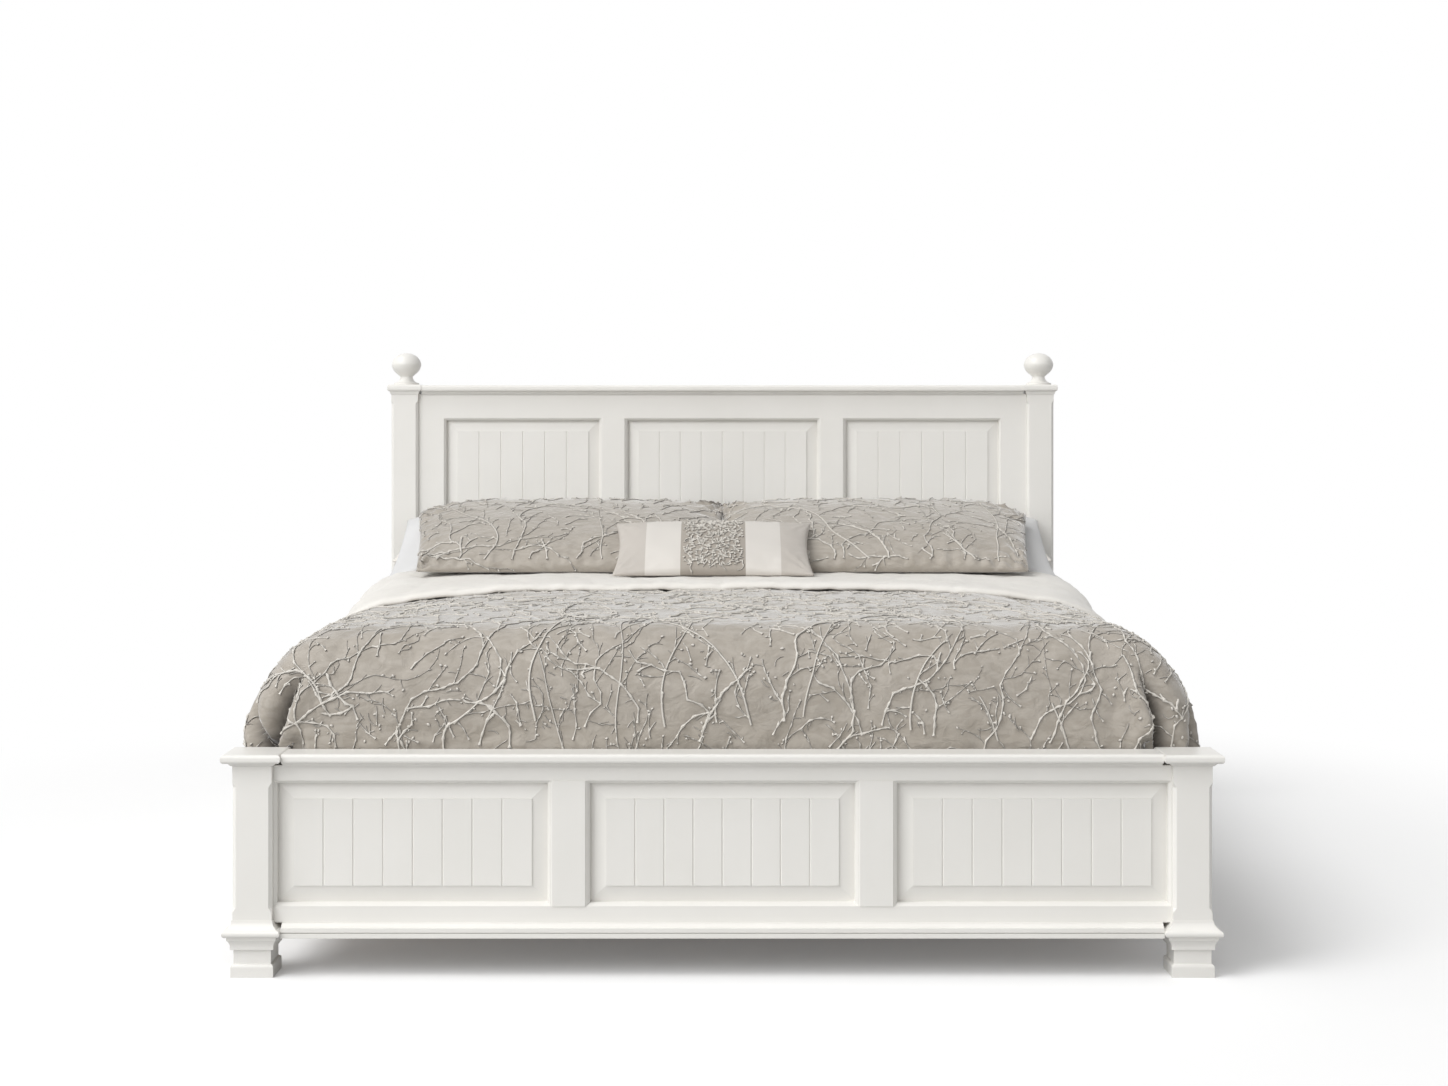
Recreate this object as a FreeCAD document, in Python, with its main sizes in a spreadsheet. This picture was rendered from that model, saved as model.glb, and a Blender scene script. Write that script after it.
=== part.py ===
import FreeCAD, Part
import math
import os
import re
import Sketcher

# A king-size panel bed with its bedding, in millimetres. +X is to the right of someone at the foot,
# the footboard is at -Y, the headboard at +Y, and +Z is up. The origin is on the floor, under the
# middle of the bed. Every driving size is named in SIZES, and every other place is worked out from
# them in an expression, so a changed size moves all that is seated on it.

SIZES = {
    # mattress and the clear space between the posts
    "mattress_wide": 1930, "mattress_long": 2032, "mattress_tall": 260, "mattress_corner": 90,
    "mattress_edge": 75, "box_spring_tall": 215, "box_spring_gap": 3, "bed_gap": 0.3,
    "mattress_foot_gap": 41, "mattress_head_gap": 7, "mattress_past_post": 27,
    "box_spring_corner": 30, "box_spring_edge": 9.5,
    # posts and their stop chamfers
    "post_side": 82, "chamfer_cut": 7, "chamfer_run": 12, "foot_chamfer_inset": 14,
    "foot_chamfer_drop": 33, "head_chamfer_drop": 16, "head_chamfer_start": 420,
    # footboard foot, base collar and cap
    "plinth_half": 44.5, "plinth_face": 21.5, "plinth_slope": 6.5, "neck_half": 39, "neck_tall": 30,
    "plinth_round": 7.8, "ogee_foot_half": 45, "ogee_half": 51.5, "ogee_lip": 7, "ogee_sweep": 23,
    "ogee_tall": 21, "ogee_fillet": 6, "collar_half": 60, "collar_nose": 15, "collar_slope": 18,
    "collar_shelf": 8, "collar_shelf_up": 4, "collar_proud": 2, "foot_post_tall": 322,
    "foot_cap_half": 62, "foot_cap_start": 3, "foot_cap_spread": 9, "foot_cap_cove": 6.5,
    "foot_cap_nose": 18.5, "nose_round": 7,
    # headboard post, its cap and the turned finial
    "head_post_tall": 1238, "head_cap_half": 52, "head_cap_start": 1, "head_cap_spread": 5,
    "head_cap_cove": 10, "head_cap_nose": 21, "head_cap_proud": 2, "finial_base": 39,
    "finial_step": 5, "finial_cup": 22, "finial_neck": 19, "finial_neck_up": 25,
    "finial_shoulder": 28, "finial_low": 33, "finial_ball": 45.5, "finial_ball_up": 63,
    "finial_round": 39, "finial_high": 90, "finial_dome": 54.5, "finial_crown": 3, "finial_tall": 98,
    # the frame of each board
    "board_thick": 36, "board_setback": 15.5, "tenon_long": 25, "tenon_thick": 14, "tenon_inset": 6,
    "cap_rail_half": 42, "cap_rail_step": 6, "cap_rail_nose": 20, "cap_rail_step_in": 14,
    "foot_top_rail": 32, "foot_opening": 262.6, "foot_bottom_rail": 33.4, "base_mould": 29,
    "base_mould_half": 38, "base_mould_groove": 4, "base_mould_slot": 2, "base_mould_lip": 10,
    "base_mould_cove": 8, "base_mould_sweep": 14.5, "base_mould_top_in": 14, "base_mould_fillet": 1,
    "head_top_rail": 76, "head_bottom_rail": 190, "head_bottom_up": 110, "head_outer_stile": 78,
    "mid_stile": 75, "stile_proud": 2, "stile_chamfer": 3, "foot_stile_at": 321.5, "head_stile_at": 337,
    # raised and beaded panels with their mouldings and beads
    "panel_back": 14, "panel_tongue": 6, "bevel_rise": 8, "bevel_wide": 33.5, "field_step": 2.6,
    "bead_groove": 4.2, "bead_depth": 2, "foot_boards": 8, "head_outer_boards": 6, "head_boards": 8,
    "mould_wide": 6.5, "mould_drop": 7, "mould_shy": 0.8, "back_bead": 10,
    # side rails, ledges, slats and the centre beam
    "side_rail_thick": 25, "side_rail_tall": 180, "side_rail_up": 160, "side_rail_gap": 3,
    "ledge_wide": 30, "ledge_tall": 30, "ledge_up": 5, "slat_wide": 70, "slat_thick": 20,
    "slat_count": 13, "slat_end_gap": 2, "slat_margin": 90, "beam_wide": 45, "beam_tall": 70,
    "beam_plate": 3, "bracket_lip": 30, "bracket_reach": 45, "leg_side": 50, "leg_tall": 100,
    "leg_pitch": 660, "leg_bevel": 3,
    # levelling feet
    "insert_outer": 6, "insert_bore": 4.05, "insert_long": 15, "stem_radius": 4, "stem_long": 40,
    "stem_chamfer": 1, "stem_room": 4.6, "stem_room_long": 45, "pad_radius": 22, "pad_thick": 7,
    "pad_round": 2.5, "pad_hub": 8, "pad_hub_tall": 4,
    # rail hooks and slot plates
    "plate_wide": 16, "plate_tall": 130, "plate_thick": 3, "hook_thick": 4, "hook_tall": 24,
    "hook_reach": 9, "slot_wide": 5, "slot_tall": 34, "slot_depth": 12, "hook_pitch": 70,
    # screws
    "screw_radius": 2.2, "ledge_screws": 5, "screw_bite": 16, "dowel_radius": 4,
    "dowel_into_finial": 24, "dowel_into_post": 30, "leg_bolt_radius": 3.5, "leg_bolt_long": 60,
    # comforter and the turned-down sheet, from the mattress outwards
    "comforter_thick": 40, "comforter_crown": 8, "comforter_side": 48, "comforter_round": 150,
    "comforter_below": 140, "comforter_front": 39, "comforter_roll": 150, "comforter_corner": 110,
    "comforter_hollow": 21, "comforter_flute": 7, "comforter_folds": 3, "comforter_from_head": 278,
    "comforter_step": 13, "comforter_step_run": 150, "under_sheet_thick": 26, "under_sheet_side": 35,
    "sheet_long": 1012, "sheet_thick": 15, "sheet_hem_up": 40, "sheet_crown": 1, "cap_clear": 4,
    "rail_clear": 1.3,
    # pillows: seam to seam sizes, lean in degrees, distance from the mattress's head and fullness
    "pillow_seam": 4, "pillow_drawn": 12, "pillow_gap": 0.3, "pillow_end_crown": 5,
    "sham_long": 902, "sham_chord": 481, "sham_tilt": 20.5, "sham_from_head": 588,
    "sham_lift": 4, "sham_crown": 72, "sham_back": 60, "sham_flat": 24, "sham_inner": 2,
    "white_long": 900, "white_chord": 440, "white_tilt": 13, "white_from_head": 438,
    "white_lift": 20, "white_crown": 80, "white_back": 60, "white_inner": 48,
    "cream_long": 900, "cream_chord": 340, "cream_tilt": 13.5, "cream_from_head": 332,
    "cream_lift": 16, "cream_crown": 30, "cream_back": 60, "cream_flat": 5, "cream_inner": 66,
    "lumbar_long": 549, "lumbar_chord": 292, "lumbar_tilt": 26.7, "lumbar_from_head": 730,
    "lumbar_lift": 1.6, "lumbar_crown": 50, "lumbar_back": 44, "lumbar_aside": 26,
}

document = FreeCAD.newDocument("panel_bed")
sheet = document.addObject("Spreadsheet::Sheet", "sizes")
for row, (name, number) in enumerate(SIZES.items(), start=1):
    sheet.set(f"A{row}", name)
    sheet.set(f"B{row}", str(number))
    sheet.setAlias(f"B{row}", name)
document.recompute()

SIZE_WORD = re.compile(r"[a-z]+(?:_[a-z]+)+")
UP = FreeCAD.Vector(0, 0, 1)
ALONG_X = FreeCAD.Vector(1, 0, 0)
ALONG_Y = FreeCAD.Vector(0, 1, 0)
BEYOND = 1  # how far a cutting shape runs past what it cuts
kept = []


def cells(text):
    """The same expression with each size name pointed at its cell of the sheet."""
    return SIZE_WORD.sub(lambda word: "sizes." + word.group(0), str(text))


def value(text):
    """The number that an expression of size names comes to."""
    return float(sheet.evalExpression(cells(text)))


def keep(thing, label):
    """Name a finished sub-part, which is then written to a file of that name."""
    thing.Label = label
    kept.append(thing)
    return thing


# ---------------------------------------------------------------- building helpers

def place(thing, across=0, along=0, up=0):
    """Bind an object's position to the sheet."""
    for axis, text in (("x", across), ("y", along), ("z", up)):
        thing.setExpression(f"Placement.Base.{axis}", cells(text))
    return thing


def block(label, across, along, up):
    """A box between two expressions on each axis."""
    box = document.addObject("Part::Box", label)
    for side, (low, high) in (("Length", across), ("Width", along), ("Height", up)):
        box.setExpression(side, cells(f"({high}) - ({low})"))
    return place(box, across[0], along[0], up[0])


def rod(label, radius, length, across, along, up, turn=None):
    """A cylinder from a point, along +Z unless it is turned."""
    cylinder = document.addObject("Part::Cylinder", label)
    cylinder.setExpression("Radius", cells(radius))
    cylinder.setExpression("Height", cells(length))
    if turn:
        cylinder.Placement.Rotation = turn
    return place(cylinder, across, along, up)


def origin_part(body, role):
    """One of a body's own origin planes or axes."""
    return [item for item in body.Origin.OriginFeatures if item.Role == role][0]


def outline(body, name, plane, corners):
    """A closed sketch through corners (x, y) or (x, y, "round" or "hollow", radius), where the
    last two make the side that starts there an arc. Every corner and radius is bound to the
    sheet. The corners run anticlockwise, so a round side swells outwards."""
    sketch = body.newObject("Sketcher::SketchObject", name)
    sketch.AttachmentSupport = [(origin_part(body, plane), "")]
    sketch.MapMode = "FlatFace"
    points = [FreeCAD.Vector(value(c[0]), value(c[1]), 0) for c in corners]
    ends = []
    for index, corner in enumerate(corners):
        start, stop = points[index], points[(index + 1) % len(points)]
        if len(corner) == 2:
            sketch.addGeometry(Part.LineSegment(start, stop))
            ends.append((1, 2))
            continue
        radius = value(corner[3])
        half = (stop - start) * 0.5
        inward = FreeCAD.Vector(-half.y, half.x, 0).normalize()
        rise = radius - max(radius ** 2 - half.Length ** 2, 0) ** 0.5
        side = -1 if corner[2] == "round" else 1
        middle = start + half + inward * (side * rise)
        sketch.addGeometry(Part.Arc(start, middle, stop))
        ends.append((1, 2) if side < 0 else (2, 1))
    for index in range(len(corners)):
        following = (index + 1) % len(corners)
        sketch.addConstraint(Sketcher.Constraint("Coincident", index, ends[index][1],
                                                 following, ends[following][0]))
    for index, corner in enumerate(corners):
        for kind, text in (("DistanceX", corner[0]), ("DistanceY", corner[1])):
            number = sketch.addConstraint(
                Sketcher.Constraint(kind, -1, 1, index, ends[index][0], value(text)))
            sketch.setExpression(f"Constraints[{number}]", cells(text))
        if len(corner) > 2:
            number = sketch.addConstraint(Sketcher.Constraint("Radius", index, value(corner[3])))
            sketch.setExpression(f"Constraints[{number}]", cells(corner[3]))
    return sketch


def side_span(sign, near, far):
    """A span across the bed, on the right or mirrored to the left."""
    return (near, far) if sign == "" else (f"-({far})", f"-({near})")


def board_span(wall, toward, near, far):
    """A span along the bed from a wall, towards the head ("+") or the foot ("-")."""
    ends = (f"{wall} {toward} ({near})", f"{wall} {toward} ({far})")
    return ends if toward == "+" else ends[::-1]


def rectangle(across, up):
    """Corners of a rectangle between two expressions on each axis."""
    return [(across[0], up[0]), (across[1], up[0]), (across[1], up[1]), (across[0], up[1])]


def padded_body(label, plane, corners, length):
    """A body with one pad, the same length to both sides of its origin plane."""
    body = document.addObject("PartDesign::Body", label)
    pad = body.newObject("PartDesign::Pad", label + "_pad")
    pad.Profile = outline(body, label + "_outline", plane, corners)
    pad.setExpression("Length", cells(length))
    pad.Midplane = True
    body.Tip = pad
    return body


def square_turning(label, corners):
    """A moulding that runs round all four sides of a square block: the same half profile
    (distance from the middle, height) is padded along both axes, and the two are intersected."""
    mirrored = [reflect(corner) for corner in reflected_order(corners)]
    profile = corners + mirrored
    long_enough = f"4 * ({corners[1][0]})"
    pads = [padded_body(f"{label}_{plane[:2]}", plane, profile, long_enough)
            for plane in ("XZ_Plane", "YZ_Plane")]
    both = document.addObject("Part::Common", label)
    both.Base, both.Tool = pads
    return both


def reflected_order(corners):
    """The corners from last to first, with each arc moved to the corner that now starts it."""
    turned = []
    for index in range(len(corners) - 1, -1, -1):
        arc = corners[index - 1][2:] if index > 0 else ()
        turned.append(tuple(corners[index][:2]) + tuple(arc))
    return turned


def reflect(corner):
    """A corner on the other side of the middle line."""
    return (f"-({corner[0]})",) + tuple(corner[1:])


def cut(label, base, tools):
    """A piece less all the tools."""
    tool = tools[0] if len(tools) == 1 else group(label + "_tools", tools)
    result = document.addObject("Part::Cut", label)
    result.Base, result.Tool = base, tool
    return result


def fuse(label, pieces):
    """Several solids glued into one."""
    result = document.addObject("Part::MultiFuse", label)
    result.Shapes = pieces
    return result


def group(label, pieces):
    """Several separate solids under one name."""
    result = document.addObject("Part::Compound", label)
    result.Links = pieces
    return result


def mirror(label, source):
    """The right-hand twin of a left-hand piece."""
    twin = document.addObject("Part::Mirroring", label)
    twin.Source = source
    twin.Base = FreeCAD.Vector(0, 0, 0)
    twin.Normal = ALONG_X
    return twin


def feature(label, shape):
    """A free-form solid, whose sizes were read from the sheet."""
    result = document.addObject("Part::Feature", label)
    result.Shape = shape
    return result


# ---------------------------------------------------------------- places along the bed

SHIFT = "((foot_cap_half - head_cap_half) / 2)"
RAIL_RUN = "(mattress_foot_gap + mattress_long + mattress_head_gap)"
FOOT_INNER = f"(-{RAIL_RUN} / 2 + {SHIFT})"
HEAD_INNER = f"({RAIL_RUN} / 2 + {SHIFT})"
FOOT_POST_Y = f"({FOOT_INNER} - post_side / 2)"
HEAD_POST_Y = f"({HEAD_INNER} + post_side / 2)"
POST_INNER = "(mattress_wide / 2 - mattress_past_post)"
POST_X = f"({POST_INNER} + post_side / 2)"

FOOT_TALL = "(plinth_face + plinth_slope + neck_tall + ogee_tall + ogee_fillet)"
FOOT_POST_TOP = f"({FOOT_TALL} + collar_nose + collar_slope + foot_post_tall)"
FOOT_CAP_TOP = f"({FOOT_POST_TOP} + foot_cap_cove + foot_cap_nose)"
HEAD_CAP_TOP = "(head_post_tall + head_cap_cove + head_cap_nose)"

FOOT_FRONT = f"({FOOT_INNER} - post_side + board_setback)"
FOOT_BACK = f"({FOOT_FRONT} + board_thick)"
HEAD_FRONT = f"({HEAD_INNER} + board_setback)"
HEAD_BACK = f"({HEAD_FRONT} + board_thick)"

FOOT_RAIL_TOP = f"({FOOT_CAP_TOP} - cap_rail_nose - cap_rail_step)"
FOOT_OPEN_TOP = f"({FOOT_RAIL_TOP} - foot_top_rail)"
FOOT_OPEN_LOW = f"({FOOT_OPEN_TOP} - foot_opening)"
FOOT_RAIL_LOW = f"({FOOT_OPEN_LOW} - foot_bottom_rail)"
HEAD_RAIL_TOP = f"({HEAD_CAP_TOP} - head_cap_proud - cap_rail_nose - cap_rail_step)"
HEAD_OPEN_TOP = f"({HEAD_RAIL_TOP} - head_top_rail)"
HEAD_OPEN_LOW = "(head_bottom_up + head_bottom_rail)"


# ---------------------------------------------------------------- posts

def post_blank(label, middle_y, low, high, chamfer_low, chamfer_high):
    """A square post whose four edges are chamfered between two stops, each end of the cut
    running out on a slope."""
    body = document.addObject("PartDesign::Body", label)
    half = "post_side / 2"
    pad = body.newObject("PartDesign::Pad", label + "_pad")
    pad.Profile = outline(body, label + "_square", "XY_Plane",
                          rectangle((f"-{half}", half), (f"-{half}", half)))
    pad.setExpression("Length", cells(f"{high} - ({low})"))
    document.recompute()
    notches = []
    for quarter in range(4):
        depth = "(post_side / sqrt(2) - chamfer_cut / sqrt(2))"
        beyond = "(post_side / sqrt(2) + chamfer_cut)"
        slope = "2 * chamfer_run"
        notch = padded_body(f"{label}_notch_{quarter}", "XZ_Plane",
                            [(depth, f"{chamfer_low} + chamfer_run"),
                             (beyond, f"{chamfer_low} + chamfer_run - {slope}"),
                             (beyond, f"{chamfer_high} - chamfer_run + {slope}"),
                             (depth, f"{chamfer_high} - chamfer_run")],
                            "6 * chamfer_cut")
        notch.Placement.Rotation = FreeCAD.Rotation(UP, 45 + 90 * quarter)
        notches.append(place(notch, f"-{POST_X}", middle_y, 0))
    place(body, f"-{POST_X}", middle_y, low)
    return cut(label + "_shaped", body, notches)


def tenoned_rail(label, front, back, low, high):
    """A rail between the posts with a tenon at each end."""
    middle = f"(({front}) + ({back})) / 2"
    pieces = [block(label + "_length", (f"-{POST_INNER}", POST_INNER), (front, back), (low, high))]
    for side, sign in (("left", "-"), ("right", "")):
        pieces.append(block(f"{label}_tenon_{side}",
                            side_span(sign, POST_INNER, f"{POST_INNER} + tenon_long"),
                            (f"{middle} - tenon_thick / 2", f"{middle} + tenon_thick / 2"),
                            (f"({low}) + tenon_inset", f"({high}) - tenon_inset")))
    return fuse(label, pieces)


# ---------------------------------------------------------------- raised and beaded panels

def bead_groove_cut(body, name, first_at, pitch, count):
    """V grooves down the raised field, evenly spaced, that leave a strip each side."""
    half = "bead_groove / 2"
    face = "(panel_back + field_step)"
    pocket = body.newObject("PartDesign::Pocket", name)
    pocket.Profile = outline(body, name + "_vee", "XY_Plane", [
        (f"{first_at} - {half} * 2", f"-{face} - bead_depth"),
        (f"{first_at} + {half} * 2", f"-{face} - bead_depth"),
        (first_at, f"-{face} + bead_depth")])
    pocket.Type = 1
    pocket.Midplane = True
    document.recompute()
    pattern = body.newObject("PartDesign::LinearPattern", name + "_row")
    pattern.Originals = [pocket]
    pattern.Direction = (origin_part(body, "X_Axis"), [""])
    pattern.setExpression("Occurrences", cells(f"{count} - 1"))
    pattern.setExpression("Length", cells(f"({pitch}) * ({count} - 2)"))
    return pattern


def raised_panel(label, wide, tall, boards, middle_x, back_y, middle_z):
    """A panel with a flat back, thin edges that the mouldings and beads hold, a sloped border
    and a raised field cut into strips by V grooves."""
    body = document.addObject("PartDesign::Body", label)
    slab = body.newObject("PartDesign::Pad", label + "_slab")
    slab.Profile = outline(body, label + "_slab_outline", "XZ_Plane",
                           rectangle((f"-({wide}) / 2", f"({wide}) / 2"),
                                     (f"-({tall}) / 2", f"({tall}) / 2")))
    slab.setExpression("Length", cells("panel_back"))
    document.recompute()
    front = min(slab.Shape.Faces, key=lambda face: face.CenterOfMass.y)
    number = [face.isSame(front) for face in slab.Shape.Faces].index(True) + 1
    border = body.newObject("PartDesign::Chamfer", label + "_border")
    border.Base = (slab, [f"Face{number}"])
    border.ChamferType = 1
    border.setExpression("Size", cells("bevel_rise"))
    border.setExpression("Size2", cells("bevel_wide + mould_wide"))
    document.recompute()
    inset = "(bevel_wide + mould_wide)"
    field_wide = f"(({wide}) - 2 * {inset})"
    field_tall = f"(({tall}) - 2 * {inset})"
    field = body.newObject("PartDesign::Pad", label + "_field")
    field.Profile = outline(body, label + "_field_outline", "XZ_Plane",
                            rectangle((f"-{field_wide} / 2", f"{field_wide} / 2"),
                                      (f"-{field_tall} / 2", f"{field_tall} / 2")))
    field.setExpression("Length", cells("panel_back + field_step"))
    document.recompute()
    pitch = f"{field_wide} / {boards}"
    pattern = bead_groove_cut(body, label + "_groove", f"(-{field_wide} / 2 + {pitch})",
                              pitch, boards)
    body.Tip = pattern
    return place(body, middle_x, back_y, middle_z)


def panel_frame(label, across, up, front, back, taper):
    """A strip all round an opening: tapered inwards for the moulding in front of a panel,
    square for the bead behind it."""
    outer = block(label + "_outer", across, (front, back), up)
    if not taper:
        inner = block(label + "_inner", (f"{across[0]} + back_bead", f"{across[1]} - back_bead"),
                      (front, back), (f"{up[0]} + back_bead", f"{up[1]} - back_bead"))
        return cut(label, outer, [inner])
    hole = document.addObject("Part::Wedge", label + "_hole")
    for name, text in (("Xmin", across[0]), ("Xmax", across[1]), ("Zmin", up[0]), ("Zmax", up[1]),
                       ("X2min", f"{across[0]} + mould_wide"), ("X2max", f"{across[1]} - mould_wide"),
                       ("Z2min", f"{up[0]} + mould_wide"), ("Z2max", f"{up[1]} - mould_wide"),
                       ("Ymin", f"{front} - mould_shy"), ("Ymax", f"{front} + mould_drop")):
        hole.setExpression(name, cells(text))
    straight = block(label + "_straight",
                     (f"{across[0]} + mould_wide", f"{across[1]} - mould_wide"),
                     (front, back), (f"{up[0]} + mould_wide", f"{up[1]} - mould_wide"))
    return cut(label, outer, [hole, straight])


# ---------------------------------------------------------------- one board, head or foot

def cap_rail(label, reach, middle_y, low):
    """The rail along the top of a board: a small step, then a nose with rounded edges."""
    step_half = "(cap_rail_half - cap_rail_step_in)"
    nose = f"({low} + cap_rail_step)"
    top = f"({nose} + cap_rail_nose)"
    half = "cap_rail_half"
    bar = padded_body(label, "YZ_Plane", [
        (f"-{step_half}", low), (step_half, low), (step_half, nose),
        (f"{half} - nose_round", nose, "round", "nose_round"), (half, f"{nose} + nose_round"),
        (half, f"{top} - nose_round", "round", "nose_round"), (f"{half} - nose_round", top),
        (f"-{half} + nose_round", top, "round", "nose_round"), (f"-{half}", f"{top} - nose_round"),
        (f"-{half}", f"{nose} + nose_round", "round", "nose_round"),
        (f"-{half} + nose_round", nose), (f"-{step_half}", nose)],
        f"2 * ({reach})")
    return place(bar, 0, middle_y, 0)


def mid_stile(label, middle_x, front, back, low, high):
    """An upright between two panels, a little proud of the rails, with softened front edges."""
    body = padded_body(label, "XY_Plane", [
        ("-mid_stile / 2", f"{front} - stile_proud + stile_chamfer"),
        ("-mid_stile / 2 + stile_chamfer", f"{front} - stile_proud"),
        ("mid_stile / 2 - stile_chamfer", f"{front} - stile_proud"),
        ("mid_stile / 2", f"{front} - stile_proud + stile_chamfer"),
        ("mid_stile / 2", back), ("-mid_stile / 2", back)], f"({high}) - ({low})")
    return place(body, middle_x, 0, f"(({high}) + ({low})) / 2")


def board_openings(board, edge, stile_at):
    """Left, centre and right opening of a board, between its stiles."""
    half = "mid_stile / 2"
    return [(f"{board}_panel_left", f"-({edge})", f"-{stile_at} - {half}"),
            (f"{board}_panel_centre", f"-{stile_at} + {half}", f"{stile_at} - {half}"),
            (f"{board}_panel_right", f"{stile_at} + {half}", edge)]


def fill_board(board, openings, boards, front, back, low, high):
    """The panels of a board, the mouldings in front of them and the beads behind."""
    mouldings, beads = [], []
    bead_front = f"({back} - panel_tongue)"
    for (name, left, right), count in zip(openings, boards):
        keep(raised_panel(name, f"({right}) - ({left})", f"({high}) - ({low})", count,
                          f"(({right}) + ({left})) / 2", bead_front, f"(({high}) + ({low})) / 2"),
             name)
        slope = "bevel_rise / (bevel_wide + mould_wide)"
        edge_front = f"({bead_front} - panel_back + bevel_rise - mould_wide * {slope})"
        mouldings.append(panel_frame(name + "_moulding", (left, right), (low, high),
                                     f"{front} + mould_shy", edge_front, True))
        beads.append(panel_frame(name + "_bead", (left, right), (low, high),
                                 bead_front, back, False))
    keep(group(f"{board}_moulding_set", mouldings), f"{board}_panel_mouldings")
    return beads


# ---------------------------------------------------------------- screws and dowels
# One group for the whole bed. The pieces that they go through are cut by them, so that each
# screw lies in a hole of its own size.

LEDGE_INNER = "(mattress_wide / 2 + side_rail_gap - ledge_wide)"
RAIL_INNER = "(mattress_wide / 2 + side_rail_gap)"
RAIL_OUTER = f"({RAIL_INNER} + side_rail_thick)"
SLAT_LOW = "(side_rail_up + ledge_up + ledge_tall)"
SLAT_TOP = f"({SLAT_LOW} + slat_thick)"
BEAM_LOW = f"({SLAT_LOW} - beam_tall)"
TURN_TO_X = FreeCAD.Rotation(ALONG_Y, 90)
TURN_FROM_X = FreeCAD.Rotation(ALONG_Y, -90)
TURN_TO_Y = FreeCAD.Rotation(ALONG_X, -90)
TURN_FROM_Y = FreeCAD.Rotation(ALONG_X, 90)

screws = []
for number in range(int(value("ledge_screws"))):
    along = f"{FOOT_INNER} + {RAIL_RUN} * ({number} + 1 / 2) / ledge_screws"
    for side, sign, turn in (("left", "-", TURN_FROM_X), ("right", "", TURN_TO_X)):
        screws.append(rod(f"ledge_screw_{side}_{number}", "screw_radius", "ledge_wide + screw_bite",
                          f"{sign}{LEDGE_INNER}", along, f"{SLAT_LOW} - ledge_tall / 2", turn))

for side, sign in (("left", "-"), ("right", "")):
    screws.append(rod(f"finial_dowel_{side}", "dowel_radius",
                      f"{HEAD_CAP_TOP} - head_post_tall + dowel_into_finial + dowel_into_post",
                      f"{sign}{POST_X}", HEAD_POST_Y, "head_post_tall - dowel_into_post"))

BRACKET_SCREW_UP = f"(({FOOT_OPEN_LOW} + {FOOT_RAIL_LOW}) / 2)"
BRACKET_SCREW_AT = "(beam_wide / 2 + beam_plate + bracket_lip / 2)"
for side, sign in (("left", "-"), ("right", "")):
    screws.append(rod(f"foot_bracket_screw_{side}", "screw_radius", "screw_bite + beam_plate",
                      f"{sign}{BRACKET_SCREW_AT}", f"{FOOT_BACK} + beam_plate", BRACKET_SCREW_UP,
                      TURN_FROM_Y))
    screws.append(rod(f"head_bracket_screw_{side}", "screw_radius", "screw_bite + beam_plate",
                      f"{sign}{BRACKET_SCREW_AT}", f"{HEAD_FRONT} - beam_plate", BRACKET_SCREW_UP,
                      TURN_TO_Y))

LEG_PLACES = [f"({SHIFT} + leg_pitch * {step})" for step in (-1, 0, 1)]
for number, along in enumerate(LEG_PLACES):
    screws.append(rod(f"leg_bolt_{number}", "leg_bolt_radius", "leg_bolt_long", 0, along,
                      f"{SLAT_LOW} - leg_bolt_long"))
keep(group("frame_screw_set", screws), "frame_screws")
screw_set = kept[-1]


# ---------------------------------------------------------------- rails across the two boards

foot_top_rail = keep(tenoned_rail("foot_top", FOOT_FRONT, FOOT_BACK, FOOT_OPEN_TOP, FOOT_RAIL_TOP),
                     "footboard_top_rail")
foot_bottom_blank = tenoned_rail("foot_bottom", FOOT_FRONT, FOOT_BACK, FOOT_RAIL_LOW, FOOT_OPEN_LOW)
keep(cut("foot_bottom_drilled", foot_bottom_blank, [screw_set]), "footboard_bottom_rail")
head_top_rail = keep(tenoned_rail("head_top", HEAD_FRONT, HEAD_BACK, HEAD_OPEN_TOP, HEAD_RAIL_TOP),
                     "headboard_top_rail")
head_bottom_blank = tenoned_rail("head_bottom", HEAD_FRONT, HEAD_BACK, "head_bottom_up",
                                 HEAD_OPEN_LOW)
keep(cut("head_bottom_drilled", head_bottom_blank, [screw_set]), "headboard_bottom_rail")


# ---------------------------------------------------------------- rail hooks and slot plates

PLATE_X = f"({RAIL_INNER} + side_rail_thick / 2)"
PLATE_LOW = "(side_rail_up + (side_rail_tall - plate_tall) / 2)"
HOOK_PLACES = [f"(side_rail_up + side_rail_tall / 2 + hook_pitch * {step} / 2)" for step in (-1, 1)]


def end_span(inner, into_post, near, far):
    """A span along the bed, measured from a post's inner face into the post or the rail."""
    toward = "-" if (inner == FOOT_INNER) == into_post else "+"
    return board_span(inner, toward, near, far)


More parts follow.
